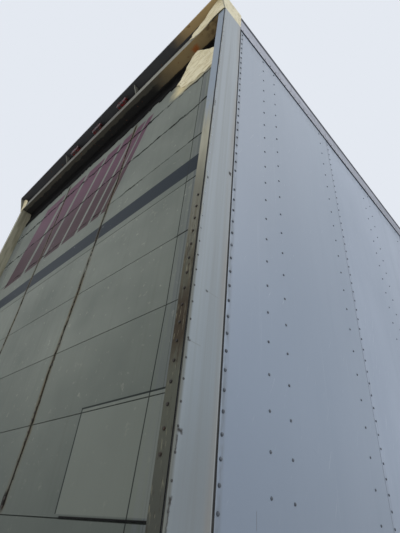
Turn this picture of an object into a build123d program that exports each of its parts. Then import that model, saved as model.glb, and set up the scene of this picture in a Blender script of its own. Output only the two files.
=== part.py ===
from build123d import *
import os
from math import atan2, cos, degrees, hypot, pi, sin

# Box semi trailer, 48 ft long and 96 in wide, with a roll-up rear door and a sliding tandem.
# Millimetres. X runs forward, Y to the trailer's left, Z up. The origin is on the ground,
# below the middle of the overall box.

# Overall size
OVERALL_LENGTH = 14630.0
WIDTH = 2438.0
HEIGHT = 4115.0
BUMPER_REACH = 60.0
GLADHAND_REACH = 85.0
REAR = -OVERALL_LENGTH / 2 + BUMPER_REACH
NOSE = OVERALL_LENGTH / 2 - GLADHAND_REACH
HALF = WIDTH / 2
FIT = 0.3

# Floor
DECK_TOP = 1283.0
DECK_THICK = 35.0
BOARD_WIDTH = 305.0
BOARD_GROOVE = 4.0
BEAM_DEPTH = 102.0
BEAM_FLANGE = 57.0
BEAM_WALL = 5.0
BEAM_PITCH = 304.8
DECK_BOTTOM = DECK_TOP - DECK_THICK
BEAM_BOTTOM = DECK_BOTTOM - BEAM_DEPTH

# Walls, rails and roof
WALL_THICK = 45.0
SHEET_INSET = 4.0
SHEET_LAP = 1.2
SHEET_PITCH = 1219.2
FIRST_SHEET = 916.0
BOTTOM_RAIL_LOW = 1130.0
BOTTOM_RAIL_DEPTH = 20.0
BOTTOM_RAIL_HOLLOW = 12.0
BOTTOM_RAIL_RIB = 24.0
BOTTOM_RAIL_BEVEL = 7.0
BOTTOM_RAIL_LIP = 27.0
BOTTOM_RAIL_FOOT = 30.0
TOP_RAIL_HEIGHT = 168.0
TOP_RAIL_LIP = 30.0
DRIP_HEIGHT = 32.0
DRIP_INSET = 5.0
ROOF_CROWN = 12.0
ROOF_THICK = 20.0
ROOF_FLATS = 4
ROOF_EDGE_INSET = 30.0
NOSE_RADIUS = 125.0
NOSE_POST_WALL = 30.0
RAIL_TOP = HEIGHT - ROOF_CROWN
TOP_RAIL_LOW = RAIL_TOP - TOP_RAIL_HEIGHT

# Rear frame
POST_WIDTH = 47.0
POST_DEPTH = 128.0
POST_GROOVE = 3.0
POST_ROUNDING = 2.5
HEADER_HEIGHT = 147.0
HEADER_LOW = RAIL_TOP - HEADER_HEIGHT
HEADER_DEPTH = 80.0
LIP_HEIGHT = 58.0
LIP_SLOPE = 4.0
LAMP_RECESS = 22.0
VISOR_REACH = 45.0
VISOR_THICK = 15.0
DIVIDER_PLACE = 440.0
DIVIDER_THICK = 6.0
DIVIDER_REACH = 31.5
SILL_WALL = 10.0
SILL_LOW = 1085.0

# Roll-up door
DOOR_RECESS = 75.0
DOOR_THICK = 22.0
DOOR_GAP = 3.0
SECTION_HEIGHT = 275.5
SECTION_JOINT = 2.5
SECTION_LAP = 7.0
BOTTOM_SECTION = 405.0
DOOR_TOP_GAP = 156.0
LOWEST_JOINT = DECK_TOP + BOTTOM_SECTION
DOOR_TOP = HEADER_LOW - DOOR_TOP_GAP
DOOR_HALF = HALF - POST_WIDTH - DOOR_GAP
SEAL_THICK = 8.0
SEAL_TOP = 20.0
SEAL_BEND = 4.0
SEAL_OVERLAP = 25.0
SEAL_FLAT = 15.0
LATCH_PLATE = 5.0
LATCH_HALF = 80.0
LATCH_FOOT = 12.0
LATCH_TALL = 106.0
LATCH_LEVER = (-14.0, 14.0, 60.0, 112.0, 24.0)
LATCH_PULL = (-12.0, 150.0, 74.0, 98.0, 30.0)
LATCH_HOOK_HALF = 10.0
LATCH_HOOK_OUT = 40.0
LATCH_HOOK_IN = 16.0
LATCH_HOOK_TOP = 62.0
LATCH_HOOK_STEP = 46.0

# Lamps
ID_LAMP_SPACING = 300.0
LAMP_LENGTH = 100.0
LAMP_HEIGHT = 44.0
LAMP_DEPTH = 20.0
LAMP_ROUNDING = 18.0
LAMP_EDGE = 5.0
ID_LAMP_DEPTH = 47.0
NOSE_LAMP_DROP = 90.0
NOSE_LAMP_INSET = 40.0
ROUND_LAMP_RADIUS = 54.0
ROUND_LAMP_FACE = 8.0
ROUND_LAMP_BODY = 30.0
TAIL_LAMP_PITCH = 150.0
SIDE_LAMP_SETBACK = 260.0
TAIL_LAMP_FIRST = 300.0
LAMP_RISE = 84.0
LAMP_Z = HEADER_LOW + LAMP_RISE
SILL_MIDDLE = (SILL_LOW + DECK_TOP) / 2

# Rear guard
GUARD_LOW = 500.0
GUARD_TUBE = 100.0
GUARD_WALL = 6.0
GUARD_LENGTH = 2240.0
GUARD_POST_PLACE = 620.0
GUARD_POST_WIDTH = 90.0
GUARD_SETBACK = 40.0
BRACE_RUN = 380.0
BRACE_THICK = 50.0
BRACE_RISE = 40.0
BRACE_HEAD = 20.0
BUMPER_WIDTH = 110.0
BUMPER_HEIGHT = 170.0
BUMPER_DROP = 60.0
BUMPER_ROUNDING = 14.0

# Coupler and landing gear
KINGPIN_SETBACK = 914.0
KINGPIN_X = NOSE - KINGPIN_SETBACK
COUPLER_LENGTH = 1700.0
COUPLER_WIDTH = 1120.0
COUPLER_PLATE = 8.0
COUPLER_RAMP = 25.0
COUPLER_RAMP_RUN = 60.0
COUPLER_CHANNELS = 5
CHANNEL_INSET = 130.0
CHANNEL_WEB = 8.0
CHANNEL_FLANGE = 60.0
CHANNEL_WALL = 6.0
KINGPIN_BORE_LEFT = 10.0
KINGPIN_RISE = 40.0
KINGPIN_SLOPE = 4.0
KINGPIN_CHAMFER = 3.0
KINGPIN_NECK = 25.4
KINGPIN_HEAD = 35.7
KINGPIN_COLLAR_LENGTH = 35.0
KINGPIN_NECK_LENGTH = 36.0
KINGPIN_HEAD_LENGTH = 13.0
LEG_SETBACK = 2743.0
LEG_X = KINGPIN_X - LEG_SETBACK
LEG_Y = 850.0
LEG_OUTER = 130.0
LEG_WALL = 8.0
LEG_INNER = LEG_OUTER - 2 * LEG_WALL - 2 * FIT
LEG_LOW = 430.0
LEG_CAP = 12.0
LEG_PLATE_LENGTH = 300.0
LEG_PLATE_HEIGHT = 190.0
LEG_PLATE_THICK = 10.0
LEG_GUSSET = 70.0
SHOE_SIZE = 255.0
SHOE_HEIGHT = 50.0
SHOE_PLATE = 10.0
SHOE_RISE = 18.0
SHOE_RAMP = 30.0
CHEEK_FLARE = 30.0
CHEEK_RISE = 45.0
CHEEK_THICK = 12.0
FOOT_TOP = 800.0
SHAFT_Z = 760.0
SHAFT_RADIUS = 16.0
GEARBOX_LENGTH = 110.0
GEARBOX_DEPTH = 75.0
GEARBOX_HEIGHT = 150.0
GEARBOX_ROUNDING = 18.0
CRANK_STUB = 60.0
CRANK_STUB_RADIUS = 14.0
CRANK_DROP = 60.0
CRANK_INSET = 12.0
CRANK_ARM = 260.0
CRANK_GRIP = 130.0
CRANK_RADIUS = 11.0
BRACE_ROD = 14.0
BRACE_INWARD = 560.0
BRACE_REARWARD = 620.0
BRACE_FOOT_RISE = 60.0
BRACE_FOOT_Z = LEG_LOW + BRACE_FOOT_RISE
BRACE_FOOT = (30.0, 44.0, 60.0)
BRACE_PAD = (70.0, 70.0, 20.0)
BRACE_SHAFT_GAP = 12.0

# Air and electric connections on the nose
HOSE_Z = 1475.0
HOSE_PITCH = 120.0
HOSE_PLATE = 6.0
HOSE_PLATE_HEIGHT = 110.0
HOSE_PLATE_MARGIN = 70.0
GLADHAND_RADIUS = 23.0
GLADHAND_NECK = 17.0
GLADHAND_BODY = (34.0, 62.0, 40.0)
GLADHAND_LOW = 20.0
GLADHAND_HIGH = 30.0
SOCKET_REACH = 60.0
SOCKET_DEPTH = 35.0
SOCKET_BORE = 26.0
SOCKET_WALL = 8.0

# Sliding tandem
AXLE_SPREAD = 1245.0
REAR_AXLE_SETBACK = 1400.0
REAR_AXLE_X = REAR + REAR_AXLE_SETBACK
FRONT_AXLE_X = REAR_AXLE_X + AXLE_SPREAD
TANDEM_X = (REAR_AXLE_X + FRONT_AXLE_X) / 2
SLIDE_TRAVEL = 2438.0
TRACK_RAIL_Y = 445.0
TRACK_RAIL_WIDTH = 70.0
TRACK_RAIL_LOW = 905.0
TRACK_RAIL_HEIGHT = 225.0
TRACK_RAIL_WALL = 8.0
SLIDER_LENGTH = 2900.0
BODY_RAIL_THICK = 8.0
BODY_RAIL_OUT = 520.0
BODY_RAIL_LOW = 1000.0
BODY_RAIL_LIP = 22.0
RAIL_HOLE_MARGIN = 120.0
PIN_HOLE_RADIUS = 19.0
PIN_PLAY = 2.0
PIN_HOLE_PITCH = 152.4
PIN_Z = 1068.0
RUNNING_GAP = 6.0
PIN_INSET = 320.0
PAD_INSET = 200.0
PAD_HALF = 90.0
PAD_THICK = 16.0
PAD_MARGIN = 5.0
CROSS_TUBE_HALF = 40.0
CROSS_TUBE_TOP = 120.0
CROSS_TUBE_INSET = 60.0
CROSS_TUBE_PLACE = 420.0
HANDLE_Z = 955.0
HANDLE_RADIUS = 8.0
HANDLE_REACH = 1100.0
HANDLE_GRIP_HALF = 55.0
HANDLE_GRIP_RADIUS = 11.0
SHAFT_Y = 360.0
LOCK_SHAFT_RADIUS = 12.0
SPRING_SPAN = 1060.0
SPRING_WIDTH = 76.0
LEAF_THICK = 13.0
LEAF_COUNT = 3
SPRING_SAG = 62.0
SPRING_EYE_Z = 735.0
LEAF_STEP = 150.0
SPRING_TOP = SPRING_EYE_Z + LEAF_THICK + FIT
HANGER_THICK = 8.0
HANGER_LOW = 640.0
HANGER_PIN_RISE = 38.0
HANGER_PIN_RADIUS = 14.0
HANGER_PIN_END = 8.0
HANGER_HALF = 85.0
MIDDLE_HANGER_HALF = 120.0
MIDDLE_HANGER_DROP = 20.0
REAR_HANGER_RISE = 30.0
HANGER_OVERLAP = 10.0
HANGER_SIDE_GAP = 5.0
EQUALIZER_TIP = 50.0
EQUALIZER_SHOULDER = 16.0
EQUALIZER_FOOT = 34.0
EQUALIZER_DROP = 24.0
EQUALIZER_END = 38.0
EQUALIZER_CROWN = 62.0
EQUALIZER_CROWN_HALF = 50.0
ARM_RADIUS = 19.0
ARM_EYE_HALF = 34.0
ARM_HANGER_EYE = 26.0
ARM_AXLE_EYE = 22.0
ARM_HANGER_DROP = 22.0
ARM_HANGER_SETBACK = 30.0
ARM_AXLE_RISE = 6.0
TANK_RADIUS = 112.0
TANK_DROP = 10.0
TANK_STRAP_HALF = 15.0
TANK_STRAP_THICK = 4.0
TANK_STRAP_PLACE = 181.5
TANK_HANGER_HALF = 35.0
TANK_HANGER_LOW = 89.6
TANK_ROUNDING = 39.2
TANK_HALF = 330.0
TANK_AHEAD = 350.0
TANK_X = FRONT_AXLE_X + TANK_AHEAD
FLAP_BEHIND = 150.0
FLAP_HALF = 305.0
FLAP_THICK = 9.0
FLAP_LOW = 250.0
FLAP_HIGH = 980.0
FLAP_EDGE = 5.0
FLAP_ARM_LOW = 930.0
FLAP_ARM_HIGH = 965.0
FLAP_ARM_THICK = 18.0
FLAP_ARM_EDGE = 15.0
FLAP_FOOT_HALF = 60.0
FLAP_FOOT_THICK = 10.0
FLAP_FOOT_MARGIN = 10.0

# Axles and wheels
WHEEL_RADIUS = 522.0
AXLE_Z = WHEEL_RADIUS
AXLE_RADIUS = 63.5
AXLE_HALF = 676.0
SPINDLE_RADIUS = 42.0
WHEEL_Y = 908.0
TWIN_HALF = 165.0
TYRE_HALF = 138.0
TREAD_HALF = 104.0
TYRE_WALL = 16.0
TREAD_THICK = 28.0
SHOULDER_RUN = 22.0
SHOULDER_DROP = 26.0
WALL_FLAT = 30.0
WALL_DROP = 10.0
BEAD_RISE = 6.0
BEAD_WIDTH = 26.0
CROWN_RUN = 30.0
CROWN_DROP = 14.0
RIM_HALF = 114.0
RIM_SEAT = 286.0
RIM_FLANGE = 299.0
RIM_LIP = 8.0
RIM_WELL = 256.0
RIM_WALL = 8.0
RIM_TAPER = 34.0
RIM_WELL_IN = 46.0
RIM_WELL_OUT = 30.0
RIM_EDGE = 2.0
DISC_KNEE = 40.0
DISC_HEEL = 20.0
DISC_THICK = 11.0
DISC_FLAT = 176.0
HUB_RADIUS = 109.0
HUB_OUT = 175.0
HUB_CAP_RADIUS = 78.0
HAND_HOLE_RADIUS = 30.0
HAND_HOLE_CIRCLE = 216.0
HAND_HOLES = 5
HUB_CAP_DEPTH = 50.0
HUB_CAP_CHAMFER = 8.0
HUB_CAP_FLANGE = 12.0
HUB_STEP = 8.0
DRUM_SLOPE = 40.0
DRUM_STEP = 6.0
HUB_WALL_STEP = 12.0
HUB_TAPER = 22.0
DRUM_FLOOR = 14.0
DRUM_ROOT = 46.0
HUB_BORE_END = 62.0
HUB_INNER_END = 90.0
SPINDLE_END = 60.0
SEAT_HALF = 80.0
SEAT_WIDTH = 88.0
SEAT_LOW = 20.0
DRUM_RADIUS = 222.0
DRUM_DEPTH = 215.0
DRUM_WALL = 17.0
SHIELD_THICK = 6.0
CLAMP_ROD = 8.0
CLAMP_HALF_LENGTH = 72.5
CLAMP_HALF_WIDTH = 52.5
CLAMP_BEND = 18.0
CLAMP_PLATE = 11.0
CLAMP_PLATE_HALF = 85.0
CLAMP_FOOT_HALF = 64.0
CLAMP_FOOT = 14.0
CLAMP_TAIL = 22.0
CHAMBER_RADIUS = 86.0
CHAMBER_LENGTH = 230.0
CHAMBER_Y = 285.0
CHAMBER_SETBACK = 235.0
CHAMBER_BAND = 18.0
CHAMBER_BAND_PLACE = 85.0
CHAMBER_BAND_RISE = 9.0
CHAMBER_ROUNDING = 24.0
CAM_SETBACK = 125.0
CAM_RADIUS = 19.0
CAM_BRACKET_PLACES = (95.0, 361.0)
CAM_BRACKET_WIDTH = 22.0
CAM_BRACKET_HALF = 28.0
SLACK_ARM = 152.0
SLACK_THICK = 25.0
SLACK_HEAD = 42.0
SLACK_TIP = 17.0
PUSH_ROD = 8.0
CLEVIS_HALF = 22.0
CLEVIS_BACK = 40.0
CLEVIS_PIN = 7.0
BRACKET_HALF = 46.0
BRACKET_WALL = 8.0
BRACKET_RISE = 52.0
BRACKET_AHEAD = 14.0


def block(x_low, x_high, y_low, y_high, z_low, z_high):
    """A box between two corners."""
    size = (x_high - x_low, y_high - y_low, z_high - z_low)
    middle = ((x_low + x_high) / 2, (y_low + y_high) / 2, (z_low + z_high) / 2)
    return Pos(*middle) * Box(*size)


def along_x(points, x_low, x_high):
    """A Y-Z outline drawn out along X."""
    return extrude(Plane.YZ.offset(x_low) * make_face(Polyline(*points, close=True)), x_high - x_low)


def along_y(points, y_low, y_high):
    """An X-Z outline drawn out along Y."""
    return extrude(Plane.XZ.offset(-y_high) * make_face(Polyline(*points, close=True)), y_high - y_low)


def rod_between(start, end, radius):
    """A round rod from one point to another."""
    axis = Vector(*end) - Vector(*start)
    return extrude(Plane(origin=start, z_dir=axis) * Circle(radius), axis.length)


def tube_y(x, y_low, y_high, z, radius):
    """A round bar across the trailer."""
    return rod_between((x, y_low, z), (x, y_high, z), radius)


def other_side(shape):
    """The same piece on the other side of the trailer's middle plane."""
    return mirror(shape, about=Plane.XZ)


def both_sides(shape):
    """A piece and its mirror image, kept apart."""
    return [shape, other_side(shape)]


def nose_corners(low, high):
    """What a square front corner has outside the round corner posts' inner faces."""
    square = Pos(NOSE - NOSE_RADIUS / 2, HALF - NOSE_RADIUS / 2) * Rectangle(NOSE_RADIUS, NOSE_RADIUS)
    round_part = Pos(NOSE - NOSE_RADIUS, HALF - NOSE_RADIUS) * Circle(NOSE_RADIUS - NOSE_POST_WALL)
    corner = extrude(Plane.XY.offset(low) * (square - round_part), high - low)
    return corner + other_side(corner)


def floor_deck():
    """Hardwood boards with a groove below each joint between two boards."""
    edge = HALF - BOTTOM_RAIL_DEPTH
    deck = block(REAR + POST_DEPTH, NOSE - WALL_THICK, -edge, edge, DECK_BOTTOM, DECK_TOP)
    deck -= nose_corners(DECK_BOTTOM, DECK_TOP)
    joints = range(-3, 4)
    for joint in joints:
        y = joint * BOARD_WIDTH
        low, high = y - BOARD_GROOVE / 2, y + BOARD_GROOVE / 2
        deck -= block(REAR, NOSE, low, high, DECK_BOTTOM - 1, DECK_BOTTOM + BOARD_GROOVE)
    return deck


def beam_outline(x):
    """I-beam section, drawn in X-Z below the deck."""
    flange, web = BEAM_FLANGE / 2, BEAM_WALL / 2
    low, high = BEAM_BOTTOM, DECK_BOTTOM
    right = [(flange, low), (flange, low + BEAM_WALL), (web, low + BEAM_WALL)]
    right += [(web, high - BEAM_WALL), (flange, high - BEAM_WALL), (flange, high)]
    left = [(-dx, z) for dx, z in reversed(right)]
    return [(x + dx, z) for dx, z in right + left]


def crossmembers():
    """I-beams at one foot centres, from the rear sill to the coupler."""
    start = REAR + POST_DEPTH + BEAM_PITCH / 2
    end = KINGPIN_X - COUPLER_LENGTH / 2 - BEAM_FLANGE
    count = int((end - start) / BEAM_PITCH) + 1
    reach = HALF - BOTTOM_RAIL_DEPTH
    return [along_y(beam_outline(start + n * BEAM_PITCH), -reach, reach) for n in range(count)]


def bottom_rails():
    """Extruded rail with two rub ribs, a lip over the side sheets and a foot turned inward."""
    web, lip = HALF - BOTTOM_RAIL_DEPTH, HALF - SHEET_INSET
    hollow = HALF - BOTTOM_RAIL_HOLLOW
    foot = web - BOTTOM_RAIL_FOOT
    wall = BOTTOM_RAIL_DEPTH - BOTTOM_RAIL_HOLLOW
    low_rib, high_rib = BOTTOM_RAIL_LOW + BOTTOM_RAIL_RIB, DECK_TOP + BOTTOM_RAIL_LIP - BOTTOM_RAIL_RIB * 1.5
    outline = [
        (HALF, BOTTOM_RAIL_LOW),
        (HALF, low_rib),
        (hollow, low_rib + BOTTOM_RAIL_BEVEL),
        (hollow, high_rib - BOTTOM_RAIL_BEVEL),
        (HALF, high_rib),
        (HALF, DECK_TOP + BOTTOM_RAIL_LIP),
        (lip, DECK_TOP + BOTTOM_RAIL_LIP),
        (lip, DECK_TOP),
        (web, DECK_TOP),
        (web, BOTTOM_RAIL_LOW + wall),
        (foot, BOTTOM_RAIL_LOW + wall),
        (foot, BOTTOM_RAIL_LOW),
    ]
    return both_sides(along_x(outline, REAR + POST_DEPTH, NOSE - NOSE_RADIUS))


def top_rails():
    """Extruded rail with a lip over the side sheets and a set-back drip edge at the roof."""
    lip = HALF - SHEET_INSET
    inner = HALF - WALL_THICK
    outline = [
        (HALF, TOP_RAIL_LOW),
        (HALF, RAIL_TOP - DRIP_HEIGHT),
        (HALF - DRIP_INSET, RAIL_TOP - DRIP_HEIGHT),
        (HALF - DRIP_INSET, RAIL_TOP),
        (HALF - ROOF_EDGE_INSET, RAIL_TOP),
        (HALF - ROOF_EDGE_INSET, RAIL_TOP - ROOF_THICK),
        (inner, RAIL_TOP - ROOF_THICK),
        (inner, TOP_RAIL_LOW + TOP_RAIL_LIP),
        (lip, TOP_RAIL_LOW + TOP_RAIL_LIP),
        (lip, TOP_RAIL_LOW),
    ]
    return both_sides(along_x(outline, REAR + POST_DEPTH, NOSE - NOSE_RADIUS))


def sheet_joints():
    """X of each joint between two side sheets, from the rear forward."""
    joints = [REAR + POST_DEPTH + FIRST_SHEET]
    while joints[-1] + SHEET_PITCH < NOSE - NOSE_RADIUS:
        joints.append(joints[-1] + SHEET_PITCH)
    return joints


def side_wall():
    """Left wall, as thick as sheet, posts and lining, with each second sheet lapped under."""
    low, high = DECK_TOP, TOP_RAIL_LOW + TOP_RAIL_LIP
    outer = HALF - SHEET_INSET
    ends = [REAR + POST_DEPTH, *sheet_joints(), NOSE - NOSE_RADIUS]
    outline = []
    for number, (start, end) in enumerate(zip(ends, ends[1:])):
        face = outer - SHEET_LAP * (number % 2)
        outline += [(start, face), (end, face)]
    outline += [(ends[-1], HALF - WALL_THICK), (ends[0], HALF - WALL_THICK)]
    sketch = make_face(Polyline(*outline, close=True))
    return extrude(Plane.XY.offset(low) * sketch, high - low)


def front_wall():
    """Flat nose wall between the round corner posts, with vertical stiffening ribs."""
    edge = HALF - NOSE_RADIUS
    wall = block(NOSE - WALL_THICK, NOSE, -edge, edge, BOTTOM_RAIL_LOW, RAIL_TOP)
    groove = 6.0
    for joint in (-1, 0, 1):
        y = joint * SHEET_PITCH / 2
        wall -= block(NOSE - 2, NOSE + 1, y - groove / 2, y + groove / 2, DECK_TOP, TOP_RAIL_LOW)
    return wall


def corner_post_section():
    """Quarter ring in plan at the front left corner."""
    centre = (NOSE - NOSE_RADIUS, HALF - NOSE_RADIUS)
    inner = NOSE_RADIUS - NOSE_POST_WALL
    ring = Pos(*centre) * (Circle(NOSE_RADIUS) - Circle(inner))
    corner = Pos(centre[0] + NOSE_RADIUS / 2, centre[1] + NOSE_RADIUS / 2)
    return ring & (corner * Rectangle(NOSE_RADIUS, NOSE_RADIUS))


def front_corner_posts():
    """Extruded quarter-round posts at the nose."""
    post = extrude(Plane.XY.offset(BOTTOM_RAIL_LOW) * corner_post_section(), RAIL_TOP - BOTTOM_RAIL_LOW)
    return both_sides(post)


def roof():
    """One crowned skin with its bows' depth, sitting in the top rails and on the nose wall."""
    edge = HALF - ROOF_EDGE_INSET
    low = RAIL_TOP - ROOF_THICK
    shares = [n / ROOF_FLATS for n in range(-ROOF_FLATS, ROOF_FLATS + 1)]
    crown = [(share * edge, RAIL_TOP + ROOF_CROWN * (1 - share**2)) for share in shares]
    section = make_face(Polyline(*crown, (edge, low), (-edge, low), close=True))
    skin = extrude(Plane.YZ.offset(REAR + HEADER_DEPTH) * section, NOSE - WALL_THICK - REAR - HEADER_DEPTH)
    return skin - nose_corners(low, HEIGHT)


def rear_header():
    """Header with a lower lip, a recess for the lamps and a visor that reaches back over them."""
    lip_top = HEADER_LOW + LIP_HEIGHT
    outline = [
        (REAR, HEADER_LOW),
        (REAR, lip_top),
        (REAR + LAMP_RECESS, lip_top + LIP_SLOPE),
        (REAR + LAMP_RECESS, RAIL_TOP - VISOR_THICK - LIP_SLOPE),
        (REAR - VISOR_REACH, RAIL_TOP - VISOR_THICK),
        (REAR - VISOR_REACH, RAIL_TOP),
        (REAR + HEADER_DEPTH, RAIL_TOP),
        (REAR + HEADER_DEPTH, HEADER_LOW),
    ]
    header = along_y(outline, -HALF, HALF)
    for side in (-1, 1):
        y = side * DIVIDER_PLACE
        gusset = [
            (REAR, lip_top),
            (REAR + LAMP_RECESS, lip_top),
            (REAR + LAMP_RECESS, RAIL_TOP - VISOR_THICK),
            (REAR - DIVIDER_REACH, RAIL_TOP - VISOR_THICK),
        ]
        header += along_y(gusset, y - DIVIDER_THICK / 2, y + DIVIDER_THICK / 2)
        cheek = [
            (REAR, lip_top - LIP_HEIGHT),
            (REAR + POST_DEPTH, lip_top - LIP_HEIGHT),
            (REAR + POST_DEPTH, RAIL_TOP),
            (REAR - VISOR_REACH, RAIL_TOP),
            (REAR - VISOR_REACH, RAIL_TOP - VISOR_THICK),
        ]
        outer, inner = side * HALF, side * (HALF - DIVIDER_THICK)
        header += along_y(cheek, min(outer, inner), max(outer, inner))
    return header


def rear_posts():
    """Post with a narrow rear face, a broad side face and a groove down the corner."""
    outer, inner = HALF, HALF - POST_WIDTH
    post = block(REAR, REAR + POST_DEPTH, inner, outer, DECK_TOP, HEADER_LOW)
    slot = outer - 2 * POST_GROOVE
    post -= block(REAR - 1, REAR + POST_GROOVE, slot, slot + POST_GROOVE, DECK_TOP, HEADER_LOW)
    corner = post.edges().filter_by(Axis.Z).group_by(Axis.X)[0].sort_by(Axis.Y)[-1]
    return both_sides(fillet(corner, POST_ROUNDING))


def lamp_places():
    """Y of the round lamps in the sill."""
    first = HALF - TAIL_LAMP_FIRST
    return [side * (first - n * TAIL_LAMP_PITCH) for side in (-1, 1) for n in range(3)]


def rear_sill():
    """Deep folded channel below the door, with holes for the round lamps and closed ends."""
    front, wall = REAR + POST_DEPTH, SILL_WALL
    outline = [
        (REAR, SILL_LOW),
        (REAR, DECK_TOP),
        (front, DECK_TOP),
        (front, DECK_BOTTOM),
        (front - wall, DECK_BOTTOM),
        (front - wall, DECK_TOP - wall),
        (REAR + wall, DECK_TOP - wall),
        (REAR + wall, SILL_LOW + wall),
        (front, SILL_LOW + wall),
        (front, SILL_LOW),
    ]
    sill = along_y(outline, -HALF, HALF)
    for side in (-1, 1):
        outer, inner = sorted((side * HALF, side * (HALF - wall)))
        sill += block(REAR, front, outer, inner, SILL_LOW, DECK_TOP)
    hole = ROUND_LAMP_RADIUS + FIT
    for y in lamp_places():
        sill -= rod_between((REAR - 1, y, SILL_MIDDLE), (REAR + wall + 1, y, SILL_MIDDLE), hole)
    return sill


def door_sections():
    """Sections of the roll-up door, each lapped behind the one above it."""
    face = REAR + DOOR_RECESS
    middle, back = face + DOOR_THICK / 2, face + DOOR_THICK
    gap = SECTION_JOINT / 2
    count = int((DOOR_TOP - LOWEST_JOINT) / SECTION_HEIGHT) + 1
    joints = [LOWEST_JOINT + n * SECTION_HEIGHT for n in range(count)]
    edges = [DECK_TOP, *joints, DOOR_TOP + gap]
    sections = []
    for low, high in zip(edges, edges[1:]):
        step = 0 if low == DECK_TOP else SECTION_LAP
        top_step = 0 if high == edges[-1] else SECTION_LAP
        foot = low + (FIT if low == DECK_TOP else gap)
        outline = [
            (face, foot),
            (middle - FIT / 2, foot),
            (middle - FIT / 2, foot + step),
            (back, foot + step),
            (back, high - gap + top_step),
            (middle + FIT / 2, high - gap + top_step),
            (middle + FIT / 2, high - gap),
            (face, high - gap),
        ]
        if step == 0:
            outline[1:4] = [(back, foot)]
        if top_step == 0:
            outline[-4:] = [(back, high - gap), (face, high - gap)]
        sections.append(along_y(outline, -DOOR_HALF, DOOR_HALF))
    return sections


def door_seal():
    """Rubber flap that hangs from the header's back edge to the door's top section."""
    face = REAR + HEADER_DEPTH
    top = HEADER_LOW + SEAL_TOP
    foot = DOOR_TOP - SEAL_OVERLAP
    back = REAR + DOOR_RECESS + DOOR_THICK + FIT
    outline = [
        (face + FIT, top),
        (face + FIT + SEAL_THICK, top),
        (back + SEAL_THICK, DOOR_TOP + SEAL_FLAT),
        (back + SEAL_THICK, foot),
        (back, foot),
        (back, DOOR_TOP + SEAL_FLAT - SEAL_THICK / 2),
        (face + FIT, HEADER_LOW + SEAL_BEND),
    ]
    return along_y(outline, -DOOR_HALF, DOOR_HALF)


def door_latch():
    """Latch on the lowest section: base plate, lever, hook and a pull handle above it."""
    face = REAR + DOOR_RECESS
    foot = DECK_TOP + LATCH_FOOT
    latch = block(face - LATCH_PLATE, face, -LATCH_HALF, LATCH_HALF, foot, foot + LATCH_TALL)
    for bar, inside in ((LATCH_LEVER, LATCH_PLATE), (LATCH_PULL, LATCH_HOOK_IN)):
        right, left, low, high, reach = bar
        latch += block(face - reach, face - inside, right, left, DECK_TOP + low, DECK_TOP + high)
    hook = [
        (face - LATCH_HOOK_OUT, DECK_TOP),
        (face - LATCH_HOOK_IN, DECK_TOP),
        (face - LATCH_HOOK_IN, DECK_TOP + LATCH_HOOK_STEP),
        (face - LATCH_PLATE, DECK_TOP + LATCH_HOOK_STEP),
        (face - LATCH_PLATE, DECK_TOP + LATCH_HOOK_TOP),
        (face - LATCH_HOOK_OUT, DECK_TOP + LATCH_HOOK_TOP),
    ]
    return latch + along_y(hook, -LATCH_HOOK_HALF, LATCH_HOOK_HALF)


def dock_bumpers():
    """Rubber blocks below the ends of the sill."""
    blocks = []
    for side in (-1, 1):
        y = side * (HALF - BUMPER_WIDTH)
        low, high = y - BUMPER_WIDTH / 2, y + BUMPER_WIDTH / 2
        foot = SILL_LOW - BUMPER_DROP
        body = block(REAR - BUMPER_REACH, REAR, low, high, foot, foot + BUMPER_HEIGHT)
        edges = body.edges().filter_by(Axis.Z).group_by(Axis.X)[0]
        blocks.append(fillet(edges, BUMPER_ROUNDING))
    return blocks


def rear_guard():
    """Underride guard: a square tube on two posts, braced forward to the frame."""
    back = REAR + GUARD_SETBACK
    tube = block(back, back + GUARD_TUBE, -GUARD_LENGTH / 2, GUARD_LENGTH / 2, GUARD_LOW, GUARD_LOW + GUARD_TUBE)
    bore = GUARD_WALL
    tube -= block(
        back + bore,
        back + GUARD_TUBE - bore,
        -GUARD_LENGTH / 2 - 1,
        GUARD_LENGTH / 2 + 1,
        GUARD_LOW + bore,
        GUARD_LOW + GUARD_TUBE - bore,
    )
    guard = tube
    top = BEAM_BOTTOM
    for side in (-1, 1):
        middle = side * GUARD_POST_PLACE
        low, high = middle - GUARD_POST_WIDTH / 2, middle + GUARD_POST_WIDTH / 2
        post = [
            (back, GUARD_LOW + GUARD_TUBE),
            (back + GUARD_TUBE, GUARD_LOW + GUARD_TUBE),
            (REAR + POST_DEPTH, SILL_LOW),
            (back, SILL_LOW),
        ]
        guard += along_y(post, low, high)
        weld = back + GUARD_TUBE / 2
        brace = [
            (weld, GUARD_LOW + GUARD_TUBE + BRACE_RISE),
            (weld, GUARD_LOW + GUARD_TUBE + BRACE_RISE + BRACE_THICK),
            (weld + BRACE_RUN - BRACE_THICK, top),
            (weld + BRACE_RUN + BRACE_HEAD, top),
        ]
        guard += along_y(brace, middle - BRACE_THICK / 2, middle + BRACE_THICK / 2)
    return guard


def lamp_box(x_low, x_high, y, z, length, height):
    """Small lamp whose lens corners are round, seen along X."""
    lens = Plane.YZ.offset(x_low) * Pos(y, z) * RectangleRounded(length, height, LAMP_ROUNDING)
    return extrude(lens, x_high - x_low)


def side_lamps(x):
    """A pair of small lamps in the bottom rails' hollows."""
    seat = HALF - BOTTOM_RAIL_HOLLOW
    z = (BOTTOM_RAIL_LOW + DECK_TOP) / 2
    lens = Plane.XZ.offset(-seat) * Pos(x, z) * RectangleRounded(LAMP_LENGTH, LAMP_HEIGHT, LAMP_ROUNDING)
    return both_sides(extrude(lens, -BOTTOM_RAIL_HOLLOW))


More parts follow.
